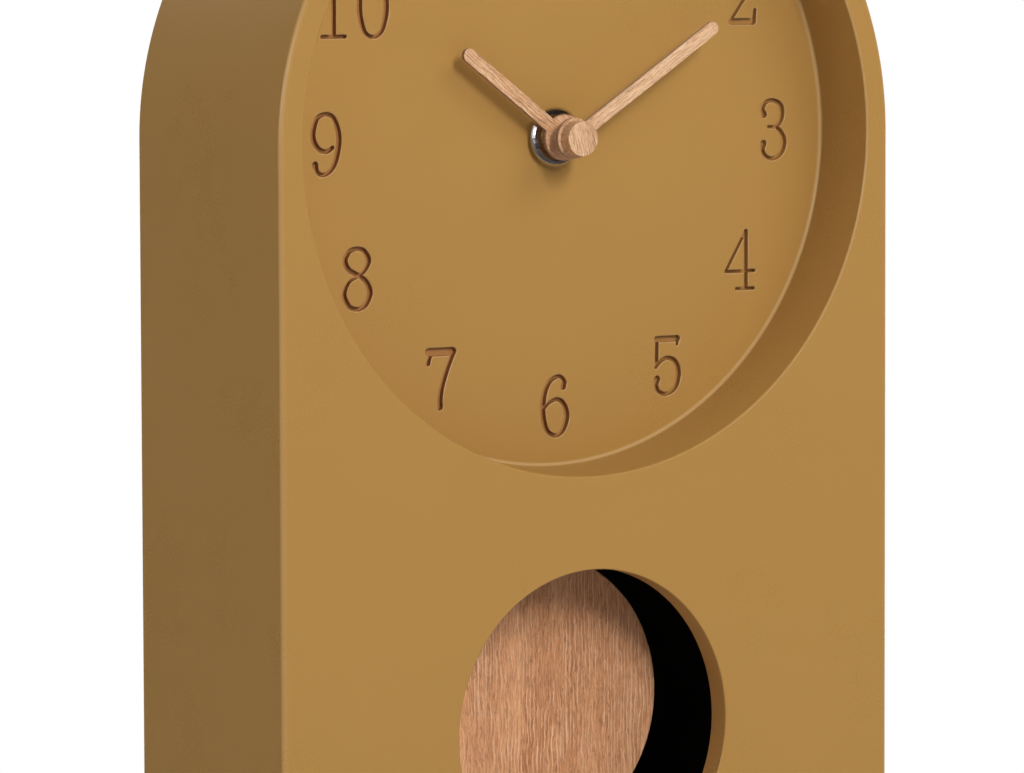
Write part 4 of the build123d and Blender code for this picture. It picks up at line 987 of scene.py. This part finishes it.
def floorPaper():  # grey with shadows near the clock, white further out
    material, tree, matte = startMaterial("floorPaper")
    feed(tree, matte, {"Base Color": studio["floorTone"], "Roughness": 0.9})
    away = flow(tree, "ShaderNodeVectorMath", {0: objectSpot(tree)}, operation="LENGTH", result="Value")
    white = flow(tree, "ShaderNodeEmission", {"Strength": 1.0})
    share = times(tree, whiteRays(tree), between(tree, away, *studio["floorFade"]))
    blend = put(tree, "ShaderNodeMixShader", {0: share, 1: matte.outputs[0], 2: white})
    tree.links.new(blend.outputs[0], tree.nodes["Material Output"].inputs[0])
    return material


side = studio["floorSize"]
floorCorners = [(-side, -side, 0), (side, -side, 0), (side, side, 0), (-side, side, 0)]
stagePiece("floor", floorCorners, [(0, 1, 2, 3)], floorPaper())

# dark cards seen only in reflections: behind the camera, above, at the right, at the far left and on the floor
flagCorners = [(-2.2, -2.6, 0), (2.6, -2.6, 0), (2.6, -2.6, 2.4), (-2.2, -2.6, 2.4), (2.6, 0.6, 0), (2.6, 0.6, 2.4),
               (-2.2, 0.6, 2.4), (-2.6, 0.9, 0), (-0.7, 2.0, 0), (-0.7, 2.0, 1.4), (-2.6, 0.9, 1.4)]
floorFlag = (-2.2, -2.6), (2.6, -2.6), (2.6, -0.06), (-0.11, -0.06), (-0.11, 0.9), (-0.7, 2.0), (-2.6, 0.9)
flagCorners += [(x, y, 0.001) for x, y in floorFlag]
flagFaces = [(0, 1, 2, 3), (3, 2, 5, 6), (1, 4, 5, 2), (7, 8, 9, 10), (11, 12, 13, 14), (11, 14, 15, 16, 17)]
flagPaint, tree, shader = startMaterial("flagPaint")
feed(tree, shader, {"Base Color": studio["flagTone"]})
flag = stagePiece("flag", flagCorners, flagFaces, flagPaint)
flag.visible_camera = flag.visible_diffuse = flag.visible_shadow = flag.visible_transmission = False

world = bpy.data.worlds.new("studioWorld")
world.use_nodes = True
bpy.context.scene.world = world
tree = world.node_tree
ambient = flow(tree, "ShaderNodeBackground", {"Color": studio["fillTint"], "Strength": studio["fill"]})
clean = flow(tree, "ShaderNodeBackground", {"Color": (1, 1, 1, 1), "Strength": 1.0})
mixed = put(tree, "ShaderNodeMixShader", {0: whiteRays(tree), 1: ambient, 2: clean})
tree.links.new(mixed.outputs[0], tree.nodes["World Output"].inputs[0])

for name, (power, wide, tall, place) in studio["lamps"].items():
    lampData = bpy.data.lights.new(name, "AREA")
    lamp = addObject(name, assign(lampData, energy=power, shape="RECTANGLE", size=wide, size_y=tall))
    lamp.visible_glossy = name in ("left", "glint")  # the others leave no glare on the plastic
    lamp.visible_diffuse = name != "glint"  # this one only draws the bright line along the left edge
    lamp.location = place
    lamp.rotation_euler = (Vector(studio["aim"]) - lamp.location).to_track_quat("-Z", "Y").to_euler()

view = {"place": (-0.710997, -1.095171, 0.23065), "yaw": 0.57477, "pitch": -0.08351, "roll": -0.00316, "lens": 226.936}
lensData = bpy.data.cameras.new("camera")
camera = addObject("camera", assign(lensData, sensor_fit="HORIZONTAL", sensor_width=36, lens=view["lens"]))
stand = Matrix.Translation(view["place"])
for angle, axis in ((-view["yaw"], "Z"), (pi / 2 + view["pitch"], "X"), (view["roll"], "Z")):
    stand = stand @ Matrix.Rotation(angle, 4, axis)
camera.matrix_world = stand
bpy.context.scene.camera = camera
bpy.context.scene.view_settings.view_transform = "Standard"
print("studio ready")
